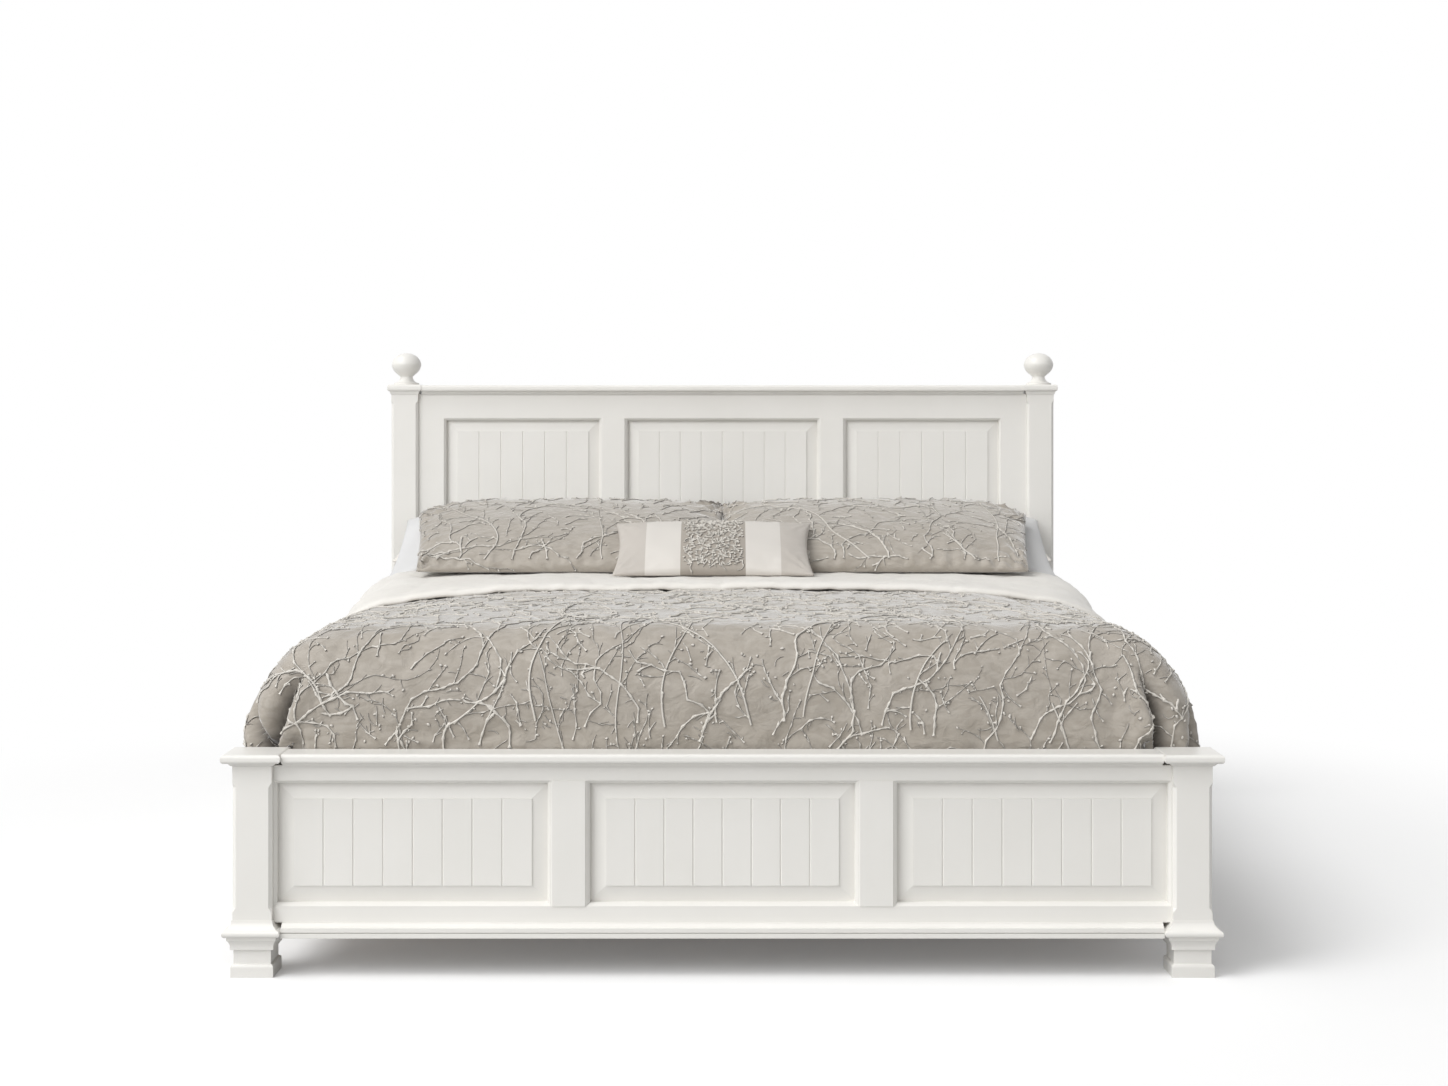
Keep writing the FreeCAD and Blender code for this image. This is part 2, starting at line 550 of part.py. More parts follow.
slot_plates, hook_plates, post_pockets, rail_pockets = [], [], {}, []
for side, sign in (("left", "-"), ("right", "")):
    across = side_span(sign, f"{PLATE_X} - plate_wide / 2", f"{PLATE_X} + plate_wide / 2")
    up = (PLATE_LOW, f"{PLATE_LOW} + plate_tall")
    for end, inner in (("foot", FOOT_INNER), ("head", HEAD_INNER)):
        name = f"{end}_{side}"
        slots, cavities, hooks = [], [], []
        for number, middle in enumerate(HOOK_PLACES):
            slot_across = side_span(sign, f"{PLATE_X} - slot_wide / 2", f"{PLATE_X} + slot_wide / 2")
            slot_up = (f"{middle} - slot_tall / 2", f"{middle} + slot_tall / 2")
            cavities.append(block(f"{name}_slot_{number}", slot_across,
                                  end_span(inner, True, 0, "slot_depth"), slot_up))
            hook_across = side_span(sign, f"{PLATE_X} - hook_thick / 2", f"{PLATE_X} + hook_thick / 2")
            hooks.append(block(f"{name}_hook_{number}", hook_across,
                               end_span(inner, True, 0, "hook_reach"),
                               (f"{middle} - slot_tall / 2", f"{middle} - slot_tall / 2 + hook_tall")))
        recess = block(f"{name}_recess", across, end_span(inner, True, 0, "plate_thick"), up)
        slot_plates.append(cut(f"{name}_slot_plate", recess, cavities))
        post_pockets[name] = [recess] + cavities
        rail_recess = block(f"{name}_rail_recess", across,
                            end_span(inner, False, 0, "plate_thick"), up)
        hook_plates.append(fuse(f"{name}_hook_plate", [rail_recess] + hooks))
        rail_pockets.append(rail_recess)
keep(group("slot_plate_set", slot_plates), "post_slot_plates")
keep(group("hook_plate_set", hook_plates), "rail_hook_plates")


# ---------------------------------------------------------------- the four posts

HEAD_CHAMFER = ("head_chamfer_start", "head_post_tall - head_chamfer_drop")
FOOT_CHAMFER = (f"{FOOT_TALL} + collar_nose + collar_slope + foot_chamfer_inset",
                f"{FOOT_POST_TOP} - foot_chamfer_drop")
for side in ("left", "right"):
    head_blank = post_blank(f"head_post_{side}", HEAD_POST_Y, "0", "head_post_tall", *HEAD_CHAMFER)
    foot_blank = post_blank(f"foot_post_{side}", FOOT_POST_Y, FOOT_TALL, FOOT_POST_TOP, *FOOT_CHAMFER)
    if side == "right":
        head_blank = mirror(f"head_post_{side}_twin", head_blank)
        foot_blank = mirror(f"foot_post_{side}_twin", foot_blank)
    keep(cut(f"head_post_{side}_mortised", head_blank,
             [head_top_rail, head_bottom_blank, screw_set] + post_pockets[f"head_{side}"]),
         f"headboard_post_{side}")
    keep(cut(f"foot_post_{side}_mortised", foot_blank,
             [foot_top_rail, foot_bottom_blank] + post_pockets[f"foot_{side}"]),
         f"footboard_post_{side}")


# ---------------------------------------------------------------- feet, collars, caps, finials

def stand_on_posts(make, label, middle_y, low):
    """A square moulding on the left post and its twin on the right one."""
    for side, sign in (("left", "-"), ("right", "")):
        piece = make(f"{label}_{side}_blank")
        for half in (piece.Base, piece.Tool):
            place(half, f"{sign}{POST_X}", middle_y, low)
        yield side, piece


def foot_moulding(label):
    """Plinth, neck and flaring ogee, from the floor up."""
    slope = "(plinth_face + plinth_slope)"
    neck = f"({slope} + neck_tall)"
    ogee = f"({neck} + ogee_tall)"
    return square_turning(label, [
        ("plinth_half", "0"), ("plinth_half", "plinth_face", "round", "plinth_round"),
        ("neck_half", slope), ("neck_half", neck), ("ogee_foot_half", neck),
        ("ogee_foot_half", f"{neck} + ogee_lip", "hollow", "ogee_sweep"),
        ("ogee_half", ogee), ("ogee_half", FOOT_TALL)])


def collar_moulding(label):
    """A rounded lip with a hollow slope above it, planted round the bottom of the post."""
    slope = "(collar_nose + collar_slope)"
    return square_turning(label, [
        ("collar_half - nose_round", "0", "round", "nose_round"), ("collar_half", "nose_round"),
        ("collar_half", "collar_nose - nose_round", "round", "nose_round"),
        ("collar_half - nose_round", "collar_nose"),
        ("post_side / 2 + collar_shelf", "collar_nose + collar_shelf_up", "hollow", "collar_slope"),
        ("post_side / 2 + collar_proud", slope)])


def foot_cap_moulding(label):
    """A small hollow under a thick flat cap with rounded edges."""
    top = "(foot_cap_cove + foot_cap_nose)"
    return square_turning(label, [
        ("post_side / 2 + foot_cap_start", "0"),
        ("post_side / 2 + foot_cap_spread", "foot_cap_cove"),
        ("foot_cap_half - nose_round", "foot_cap_cove", "round", "nose_round"),
        ("foot_cap_half", "foot_cap_cove + nose_round"),
        ("foot_cap_half", f"{top} - nose_round", "round", "nose_round"),
        ("foot_cap_half - nose_round", top)])


def head_cap_moulding(label):
    """The lighter cap of a headboard post."""
    top = "(head_cap_cove + head_cap_nose)"
    return square_turning(label, [
        ("post_side / 2 + head_cap_start", "0"),
        ("post_side / 2 + head_cap_spread", "head_cap_cove"),
        ("head_cap_half - nose_round", "head_cap_cove", "round", "nose_round"),
        ("head_cap_half", "head_cap_cove + nose_round"),
        ("head_cap_half", f"{top} - nose_round", "round", "nose_round"),
        ("head_cap_half - nose_round", top)])


def finial(label, sign):
    """A turned ball on a flared base and a slim neck."""
    body = document.addObject("PartDesign::Body", label)
    turning = body.newObject("PartDesign::Revolution", label + "_turning")
    turning.Profile = outline(body, label + "_profile", "XZ_Plane", [
        ("0", "0"), ("finial_base", "0"), ("finial_base", "finial_step", "hollow", "finial_cup"),
        ("finial_neck", "finial_neck_up"),
        ("finial_shoulder", "finial_low", "round", "finial_round"),
        ("finial_ball", "finial_ball_up", "round", "finial_round"),
        ("finial_shoulder", "finial_high", "round", "finial_dome"),
        ("finial_crown", "finial_tall"), ("0", "finial_tall")])
    turning.ReferenceAxis = (origin_part(body, "Z_Axis"), [""])
    turning.Angle = 360
    body.Tip = turning
    return place(body, f"{sign}{POST_X}", HEAD_POST_Y, HEAD_CAP_TOP)


posts = {thing.Label: thing for thing in kept if "_post_" in thing.Label}
for side, piece in stand_on_posts(foot_moulding, "foot", FOOT_POST_Y, "0"):
    keep(piece, f"footboard_foot_{side}")
for side, piece in stand_on_posts(collar_moulding, "collar", FOOT_POST_Y, FOOT_TALL):
    keep(cut(f"collar_{side}", piece, [posts[f"footboard_post_{side}"], foot_bottom_blank]),
         f"footboard_base_collar_{side}")
for side, piece in stand_on_posts(foot_cap_moulding, "foot_cap", FOOT_POST_Y, FOOT_POST_TOP):
    keep(piece, f"footboard_post_cap_{side}")
for side, piece in stand_on_posts(head_cap_moulding, "head_cap", HEAD_POST_Y, "head_post_tall"):
    keep(cut(f"head_cap_{side}_bored", piece, [screw_set, head_top_rail]),
         f"headboard_post_cap_{side}")
for side, sign in (("left", "-"), ("right", "")):
    keep(cut(f"finial_{side}_bored", finial(f"finial_{side}", sign), [screw_set]),
         f"headboard_finial_{side}")


# ---------------------------------------------------------------- cap rails and base moulding

FOOT_MIDDLE = f"(({FOOT_FRONT} + {FOOT_BACK}) / 2)"
HEAD_MIDDLE = f"(({HEAD_FRONT} + {HEAD_BACK}) / 2)"
foot_cap_bar = cap_rail("foot_cap_bar", f"{POST_X} - foot_cap_half", FOOT_MIDDLE, FOOT_RAIL_TOP)
keep(foot_cap_bar, "footboard_cap_rail")
head_cap_bar = cap_rail("head_cap_bar", f"{POST_X} - head_cap_half", HEAD_MIDDLE, HEAD_RAIL_TOP)
keep(head_cap_bar, "headboard_cap_rail")

BASE_LOW = f"({FOOT_RAIL_LOW} - base_mould)"
half, lip = "base_mould_half", "base_mould_lip"
base_side = [
    (half, "0"), (half, lip), (f"{half} - base_mould_groove", lip),
    (f"{half} - base_mould_groove", f"{lip} + base_mould_slot"), (half, f"{lip} + base_mould_slot"),
    (half, "base_mould - base_mould_cove", "hollow", "base_mould_sweep"),
    (f"{half} - base_mould_top_in", "base_mould - base_mould_fillet"),
    (f"{half} - base_mould_top_in", "base_mould")]
base_bar = padded_body("base_bar", "YZ_Plane",
                       base_side + [reflect(corner) for corner in reflected_order(base_side)],
                       f"2 * ({POST_X} - collar_half)")
place(base_bar, 0, FOOT_MIDDLE, BASE_LOW)
keep(base_bar, "footboard_base_moulding")


# ---------------------------------------------------------------- stiles and panels

for side, sign in (("left", "-"), ("right", "")):
    keep(mid_stile(f"foot_stile_{side}", f"{sign}foot_stile_at", FOOT_FRONT, FOOT_BACK,
                   FOOT_OPEN_LOW, FOOT_OPEN_TOP), f"footboard_mid_stile_{side}")
    keep(mid_stile(f"head_stile_{side}", f"{sign}head_stile_at", HEAD_FRONT, HEAD_BACK,
                   HEAD_OPEN_LOW, HEAD_OPEN_TOP), f"headboard_mid_stile_{side}")
    span = side_span(sign, f"{POST_INNER} - head_outer_stile", POST_INNER)
    keep(block(f"head_edge_stile_{side}", span, (HEAD_FRONT, HEAD_BACK),
               (HEAD_OPEN_LOW, HEAD_OPEN_TOP)), f"headboard_outer_stile_{side}")

back_beads = fill_board("footboard", board_openings("footboard", POST_INNER, "foot_stile_at"),
                        ("foot_boards", "foot_boards", "foot_boards"),
                        FOOT_FRONT, FOOT_BACK, FOOT_OPEN_LOW, FOOT_OPEN_TOP)
back_beads += fill_board("headboard",
                         board_openings("headboard", f"({POST_INNER} - head_outer_stile)",
                                        "head_stile_at"),
                         ("head_outer_boards", "head_boards", "head_outer_boards"),
                         HEAD_FRONT, HEAD_BACK, HEAD_OPEN_LOW, HEAD_OPEN_TOP)
keep(group("back_bead_set", back_beads), "panel_retaining_beads")


# ---------------------------------------------------------------- side rails, ledges and slats

for side, sign in (("left", "-"), ("right", "")):
    plank = block(f"side_plank_{side}", side_span(sign, RAIL_INNER, RAIL_OUTER),
                  (FOOT_INNER, HEAD_INNER), ("side_rail_up", "side_rail_up + side_rail_tall"))
    keep(cut(f"side_plank_{side}_fitted", plank, [screw_set] + rail_pockets), f"side_rail_{side}")

ledges = []
for side, sign in (("left", "-"), ("right", "")):
    strip = block(f"ledge_{side}", side_span(sign, LEDGE_INNER, RAIL_INNER),
                  (FOOT_INNER, HEAD_INNER), (f"{SLAT_LOW} - ledge_tall", SLAT_LOW))
    ledges.append(cut(f"ledge_{side}_drilled", strip, [screw_set]))
keep(group("ledge_set", ledges), "slat_ledges")

slats = []
SLAT_PITCH = f"(({RAIL_RUN} - 2 * slat_margin) / (slat_count - 1))"
SLAT_HALF = f"({RAIL_INNER} - slat_end_gap)"
for number in range(int(value("slat_count"))):
    middle = f"({FOOT_INNER} + slat_margin + {number} * {SLAT_PITCH})"
    slats.append(block(f"slat_{number}", (f"-{SLAT_HALF}", SLAT_HALF),
                       (f"{middle} - slat_wide / 2", f"{middle} + slat_wide / 2"),
                       (SLAT_LOW, SLAT_TOP)))
keep(group("slat_set", slats), "bed_slats")


# ---------------------------------------------------------------- centre beam and its legs

BEAM_HALF = "(beam_wide / 2)"
beam = block("beam_bar", (f"-{BEAM_HALF}", BEAM_HALF),
             (f"{FOOT_BACK} + beam_plate", f"{HEAD_FRONT} - beam_plate"), (BEAM_LOW, SLAT_LOW))
keep(cut("beam_drilled", beam, [screw_set]), "centre_beam")

brackets = []
for end, wall, toward in (("foot", FOOT_BACK, "+"), ("head", HEAD_FRONT, "-")):
    outer_half = f"({BEAM_HALF} + beam_plate)"
    low = f"{BEAM_LOW} - beam_plate"
    flange = block(f"{end}_flange", (f"-{outer_half} - bracket_lip", f"{outer_half} + bracket_lip"),
                   board_span(wall, toward, 0, "beam_plate"), (low, SLAT_LOW))
    cradle = block(f"{end}_cradle", (f"-{outer_half}", outer_half),
                   board_span(wall, toward, 0, "beam_plate + bracket_reach"), (low, SLAT_LOW))
    bracket = fuse(f"{end}_bracket", [flange, cradle])
    brackets.append(cut(f"{end}_bracket_hollow", bracket, [beam, screw_set]))
keep(group("bracket_set", brackets), "beam_brackets")

LEG_LOW = f"({BEAM_LOW} - leg_tall)"
legs, inserts = [], []
for number, along in enumerate(LEG_PLACES):
    leg = padded_body(f"leg_{number}", "XY_Plane", [
        ("-leg_side / 2 + leg_bevel", "-leg_side / 2"), ("leg_side / 2 - leg_bevel", "-leg_side / 2"),
        ("leg_side / 2", "-leg_side / 2 + leg_bevel"), ("leg_side / 2", "leg_side / 2 - leg_bevel"),
        ("leg_side / 2 - leg_bevel", "leg_side / 2"), ("-leg_side / 2 + leg_bevel", "leg_side / 2"),
        ("-leg_side / 2", "leg_side / 2 - leg_bevel"),
        ("-leg_side / 2", "-leg_side / 2 + leg_bevel")], "leg_tall")
    place(leg, 0, along, f"{LEG_LOW} + leg_tall / 2")
    seat = rod(f"leg_seat_{number}", "insert_outer", "insert_long", 0, along, LEG_LOW)
    room = rod(f"leg_room_{number}", "stem_room", "stem_room_long", 0, along, LEG_LOW)
    legs.append(cut(f"leg_{number}_bored", leg, [seat, room, screw_set]))
    bore = rod(f"insert_bore_{number}", "insert_bore", "insert_long", 0, along, LEG_LOW)
    inserts.append(cut(f"insert_{number}", seat, [bore]))
keep(group("leg_set", legs), "centre_legs")
keep(group("insert_set", inserts), "leveller_inserts")

for place_name, along in zip(("foot_end", "middle", "head_end"), LEG_PLACES):
    body = document.addObject("PartDesign::Body", f"leveller_{place_name}")
    turning = body.newObject("PartDesign::Revolution", f"leveller_{place_name}_turning")
    turning.Profile = outline(body, f"leveller_{place_name}_profile", "XZ_Plane", [
        ("0", "0"), ("pad_radius - pad_round", "0", "round", "pad_round"),
        ("pad_radius", "pad_round"), ("pad_radius", "pad_thick - pad_round", "round", "pad_round"),
        ("pad_radius - pad_round", "pad_thick"), ("pad_hub", "pad_thick"),
        ("pad_hub", "pad_thick + pad_hub_tall"), ("stem_radius", "pad_thick + pad_hub_tall"),
        ("stem_radius", "pad_thick + stem_long - stem_chamfer"),
        ("stem_radius - stem_chamfer", "pad_thick + stem_long"),
        ("0", "pad_thick + stem_long")])
    turning.ReferenceAxis = (origin_part(body, "Z_Axis"), [""])
    turning.Angle = 360
    body.Tip = turning
    keep(place(body, 0, along, 0), f"levelling_foot_{place_name}")


# ---------------------------------------------------------------- box springs and mattress

MATTRESS_FOOT = f"({FOOT_INNER} + mattress_foot_gap)"
MATTRESS_HEAD = f"({MATTRESS_FOOT} + mattress_long)"
MATTRESS_MIDDLE = f"({MATTRESS_FOOT} + mattress_long / 2)"
SPRING_TOP = f"({SLAT_TOP} + box_spring_tall)"
MATTRESS_TOP = f"({SPRING_TOP} + mattress_tall)"


def rounded_pad(label, half_across, half_along, low, high, corner, edge, middle_x):
    """A block with rounded corners in plan and rounded edges, centred on the mattress."""
    body = document.addObject("PartDesign::Body", label)
    pad = body.newObject("PartDesign::Pad", label + "_pad")
    x, y = f"({half_across})", f"({half_along})"
    pad.Profile = outline(body, label + "_plan", "XY_Plane", [
        (f"-{x} + {corner}", f"-{y}"), (f"{x} - {corner}", f"-{y}", "round", corner),
        (x, f"-{y} + {corner}"), (x, f"{y} - {corner}", "round", corner),
        (f"{x} - {corner}", y), (f"-{x} + {corner}", y, "round", corner),
        (f"-{x}", f"{y} - {corner}"), (f"-{x}", f"-{y} + {corner}", "round", corner)])
    pad.setExpression("Length", cells(f"({high}) - ({low})"))
    document.recompute()
    tall = value(f"({high}) - ({low})")
    faces = [f"Face{number}" for number, face in enumerate(pad.Shape.Faces, start=1)
             if abs(face.CenterOfMass.z - tall) < 0.01 or abs(face.CenterOfMass.z) < 0.01]
    rounding = body.newObject("PartDesign::Fillet", label + "_edges")
    rounding.Base = (pad, faces)
    rounding.setExpression("Radius", cells(edge))
    body.Tip = rounding
    return place(body, middle_x, MATTRESS_MIDDLE, low)


springs = []
for side, sign in (("left", "-"), ("right", "")):
    half_wide = "(mattress_wide / 4 - box_spring_gap / 4)"
    springs.append(rounded_pad(f"box_spring_{side}", half_wide, "mattress_long / 2", SLAT_TOP,
                               SPRING_TOP, "box_spring_corner", "box_spring_edge",
                               f"{sign}({half_wide} + box_spring_gap / 2)"))
keep(group("box_spring_set", springs), "box_springs")
keep(rounded_pad("mattress_pad", "mattress_wide / 2", "mattress_long / 2", SPRING_TOP, MATTRESS_TOP,
                 "mattress_corner", "mattress_edge", "0"), "mattress")


# ---------------------------------------------------------------- comforter and folded sheet
# Free forms: each is a loft through sections of lines and arcs, all read from the sheet.

COMFORTER_FRONT = value(f"{MATTRESS_FOOT} - comforter_front")
COMFORTER_HEAD = value(f"{MATTRESS_HEAD} - comforter_from_head")
COMFORTER_TOP = value(f"{MATTRESS_TOP} + comforter_thick")
COMFORTER_HALF = value("mattress_wide / 2 + comforter_side")
COMFORTER_HEM = value(f"{SPRING_TOP} - comforter_below")
UNDER_SHEET_TOP = value(f"{MATTRESS_TOP} + under_sheet_thick")
UNDER_SHEET_HALF = value("mattress_wide / 2 + under_sheet_side")
SHEET_TOP = UNDER_SHEET_TOP + value("sheet_thick")
SHEET_HEM = COMFORTER_HEM + value("sheet_hem_up")
SHEET_END = COMFORTER_HEAD + value("sheet_thick")
SHEET_START = SHEET_END - value("sheet_long")
UNDER_SHEET_START = SHEET_START - value("comforter_step")
FOOT_SHARES = (0, 0.08, 0.25, 0.55, 1)  # where the rounded foot end has its sections
FOLD_STEPS = 6  # sections in each fold of the side drops


def vector(across, along, up):
    """A point from three plain numbers."""
    return FreeCAD.Vector(across, along, up)


def drape_section(along, half, top, hem_half, hem, crown):
    """A section across the bed: a straight drop on each side, a round shoulder and a low crown."""
    radius = value("comforter_round")
    edge = top - crown
    centre = half - radius
    lean = radius * math.sqrt(0.5)
    corners = [vector(-hem_half, along, hem), vector(-half, along, edge - radius),
               vector(-centre, along, edge), vector(centre, along, edge),
               vector(half, along, edge - radius), vector(hem_half, along, hem)]
    left = vector(-centre - lean, along, edge - radius + lean)
    right = vector(centre + lean, along, edge - radius + lean)
    return Part.Wire([
        Part.makeLine(corners[0], corners[1]),
        Part.Arc(corners[1], left, corners[2]).toShape(),
        Part.Arc(corners[2], vector(0, along, top), corners[3]).toShape(),
        Part.Arc(corners[3], right, corners[4]).toShape(),
        Part.makeLine(corners[4], corners[5]), Part.makeLine(corners[5], corners[0])])


def rolled(distance, radius):
    """How far a surface has dropped away at a distance inside a rounded edge."""
    if distance >= radius:
        return 0
    return radius - (radius ** 2 - (radius - distance) ** 2) ** 0.5


def comforter_sections():
    """The comforter's rounded foot end, and its run up to the folded sheet with soft folds in
    the side drops. The first section of the run is the last of the foot."""
    top, half, hem = COMFORTER_TOP, COMFORTER_HALF, COMFORTER_HEM
    roll, corner = value("comforter_roll"), value("comforter_corner")
    crown, flute = value("comforter_crown"), value("comforter_flute")
    foot = []
    for share in FOOT_SHARES:
        distance = share * roll
        width = half - rolled(distance, corner)
        foot.append(drape_section(COMFORTER_FRONT + distance, width,
                                  top - rolled(distance, roll), width, hem, crown))
    run = [foot[-1]]
    first = COMFORTER_FRONT + roll
    last = SHEET_START - value("comforter_step_run")
    steps = FOLD_STEPS * int(value("comforter_folds"))
    for step in range(1, steps + 1):
        sway = flute * math.sin(2 * math.pi * step / FOLD_STEPS)
        along = first + (last - first) * step / steps
        run.append(drape_section(along, half, top, half + sway, hem, crown))
    run.append(drape_section(UNDER_SHEET_START, UNDER_SHEET_HALF, UNDER_SHEET_TOP, UNDER_SHEET_HALF,
                             hem, value("sheet_crown")))
    return foot, run


def straight_drape(start, stop, half, top, hem):
    """A stretch of bedding whose section doesn't change along the bed."""
    section = drape_section(start, half, top, half, hem, value("sheet_crown"))
    return Part.Face(section).extrude(vector(0, stop - start, 0))


def clear_box(low, high):
    """A plain box between two corners, as a shape."""
    return Part.makeBox(high[0] - low[0], high[1] - low[1], high[2] - low[2], vector(*low))


gap = value("bed_gap")
foot_part, run_part = comforter_sections()
foot_drape = Part.makeLoft(foot_part, True)
run_drape = Part.makeLoft(run_part, True, True)
back_drape = straight_drape(UNDER_SHEET_START, COMFORTER_HEAD, UNDER_SHEET_HALF, UNDER_SHEET_TOP,
                            COMFORTER_HEM)
bed_space = rounded_pad("bed_space", "mattress_wide / 2 + bed_gap", "mattress_long / 2 + bed_gap",
                        f"{SPRING_TOP} - comforter_below - 2 * mattress_edge",
                        f"{MATTRESS_TOP} + bed_gap",
                        "mattress_corner + bed_gap", "mattress_edge + bed_gap", "0")
document.recompute()

hem_low = COMFORTER_HEM - BEYOND
front = COMFORTER_FRONT - BEYOND
past_head = COMFORTER_HEAD + BEYOND
inner_half = value("mattress_wide / 2 + comforter_hollow")
rail_half = value(f"{RAIL_OUTER} + rail_clear")
inner_start = value(f"{MATTRESS_FOOT} + comforter_corner")
side_room = clear_box((-inner_half, inner_start, hem_low),
                      (inner_half, past_head, value(f"{SPRING_TOP} + mattress_tall / 2")))
rail_top = value("side_rail_up + side_rail_tall + rail_clear")
rail_rooms = [clear_box((low, front, hem_low), (high, past_head, rail_top))
              for low, high in ((-rail_half, -value(LEDGE_INNER)), (value(LEDGE_INNER), rail_half))]
clear = value("cap_clear")
cap_reach = value(f"{POST_X} - foot_cap_half") - clear
cap_back = value(f"{FOOT_POST_Y} + foot_cap_half") + clear
cap_rooms = [clear_box((low, front, value(FOOT_POST_TOP) - clear),
                       (high, cap_back, value(FOOT_CAP_TOP) + clear))
             for low, high in ((-rail_half - clear, -cap_reach), (cap_reach, rail_half + clear))]
bed_half = value("mattress_wide / 2") + gap
spring_space = clear_box((-bed_half, value(MATTRESS_FOOT) - gap, hem_low),
                         (bed_half, past_head, value(SPRING_TOP)))
comforter_shape = foot_drape.fuse([run_drape, back_drape]).cut(
    [bed_space.Shape, spring_space, side_room] + rail_rooms + cap_rooms)
keep(feature("comforter_form", comforter_shape), "comforter")

sheet_outer = straight_drape(SHEET_START, SHEET_END, UNDER_SHEET_HALF + value("sheet_thick"),
                             SHEET_TOP, SHEET_HEM)
sheet_inner = straight_drape(SHEET_START - BEYOND, SHEET_END + BEYOND, UNDER_SHEET_HALF + gap,
                             UNDER_SHEET_TOP + gap, SHEET_HEM - BEYOND)
keep(feature("sheet_form", sheet_outer.cut(sheet_inner)), "turned_down_sheet")


# ---------------------------------------------------------------- pillows

PILLOW_SHARES = (-1, -0.93, -0.75, -0.45, 0, 0.45, 0.75, 0.93, 1)  # sections, closer at the ends
PILLOW_SQUARENESS = 3.2  # the higher, the further the fullness runs before the end


def pillow_section(share, kind):
    """One section of a pillow, at a share of its half length from the middle: two arcs between
    the top and the bottom seam."""
    chord, drawn = value(f"{kind}_chord"), value("pillow_drawn")
    seam = value("pillow_seam") / 2
    across = share * value(f"{kind}_long") / 2
    fullness = max(1 - abs(share) ** PILLOW_SQUARENESS, 0) ** 0.5
    thin = value("pillow_end_crown")
    front = thin + (value(f"{kind}_crown") - thin) * fullness
    back = thin + (value(f"{kind}_back") - thin) * fullness
    low, high = drawn * (1 - share ** 2), chord - drawn * (1 - share ** 2)
    middle = (low + high) / 2
    return Part.Wire([
        Part.Arc(vector(across, low, seam), vector(across, middle, front),
                 vector(across, high, seam)).toShape(),
        Part.makeLine(vector(across, high, seam), vector(across, high, -seam)),
        Part.Arc(vector(across, high, -seam), vector(across, middle, -back),
                 vector(across, low, -seam)).toShape(),
        Part.makeLine(vector(across, low, -seam), vector(across, low, seam))])


def pillow_form(kind):
    """A pillow lying on its back with its bottom seam on the X axis: crowned both ways, with
    top, bottom and ends drawn in between the corners."""
    form = Part.makeLoft([pillow_section(share, kind) for share in PILLOW_SHARES], True)
    chord, drawn = value(f"{kind}_chord"), value("pillow_drawn")
    radius = (chord ** 2 / 4 + drawn ** 2) / (2 * drawn)
    reach = value(f"{kind}_long") / 2 - drawn + radius
    bulk = 4 * value(f"{kind}_crown")
    for side in (-1, 1):
        form = form.cut(Part.makeCylinder(radius, 2 * bulk, vector(side * reach, chord / 2, -bulk)))
    return form


def leaning(kind, middle_x):
    """Where a pillow stands: its bottom seam on the bedding, leaning back by its tilt."""
    rest = vector(middle_x, value(f"{MATTRESS_HEAD} - {kind}_from_head"),
                  SHEET_TOP + value(f"{kind}_lift"))
    return FreeCAD.Placement(rest, FreeCAD.Rotation(ALONG_X, value(f"{kind}_tilt")))


def above_plane(kind, height, downwards):
    """Everything on one side of a plane that leans like a pillow."""
    far = value("mattress_wide")
    space = Part.makeBox(2 * far, 2 * far, far, vector(-far, -far, -far if downwards else 0))
    space.translate(vector(0, 0, height))
    return space.transformed(leaning(kind, 0).toMatrix())


bed_level = SHEET_TOP + gap
far = value("mattress_wide")
under_bed_level = clear_box((-far, -far, 0), (far, far, bed_level))
pillow_gap = value("pillow_gap")


def stand_pillow(label, kind, middle_x, rooms):
    """A pillow in its place, flattened where it meets what it lies on."""
    form = pillow_form(kind).transformed(leaning(kind, middle_x).toMatrix())
    keep(feature(label + "_form", form.cut([under_bed_level] + rooms)), label)
    return kept[-1]


sham_flat = value("sham_flat")
cream_flat = value("cream_flat")
cream_pair = []
for side, sign in (("left", -1), ("right", 1)):
    middle = {kind: sign * value(f"{kind}_inner + {kind}_long / 2")
              for kind in ("sham", "white", "cream")}
    stand_pillow(f"sham_{side}", "sham", middle["sham"], [above_plane("sham", -sham_flat, True)])
    stand_pillow(f"white_pillow_{side}", "white", middle["white"],
                 [above_plane("sham", -sham_flat - pillow_gap, False),
                  above_plane("cream", cream_flat + pillow_gap, True)])
    cream = pillow_form("cream").transformed(leaning("cream", middle["cream"]).toMatrix())
    cream = cream.cut([under_bed_level, above_plane("cream", cream_flat, False)])
    cream_pair.append(feature(f"cream_pillow_{side}", cream))
keep(group("cream_pair", cream_pair), "cream_pillows")
stand_pillow("lumbar_pillow", "lumbar", -value("lumbar_aside"), [])


# ---------------------------------------------------------------- checks and export

document.recompute()
failed = [thing.Name for thing in document.Objects
          if "Invalid" in thing.State or "Error" in thing.State]
if failed:
    raise SystemExit(f"these objects failed: {failed}")
for thing in kept:
    if thing.Shape.isNull() or not thing.Shape.isValid() or not thing.Shape.Solids:
        raise SystemExit(f"{thing.Label} has no valid solid")

os.makedirs("parts", exist_ok=True)
for thing in kept:
    thing.Shape.exportStep(os.path.join("parts", thing.Label + ".step"))
print(f"wrote {len(kept)} files")
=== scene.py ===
import random
import bmesh
import bpy
from math import atan2, copysign, cos, degrees, exp, hypot, pi, radians, sin
from mathutils import Matrix, Vector
from mathutils.bvhtree import BVHTree
from mathutils.noise import noise


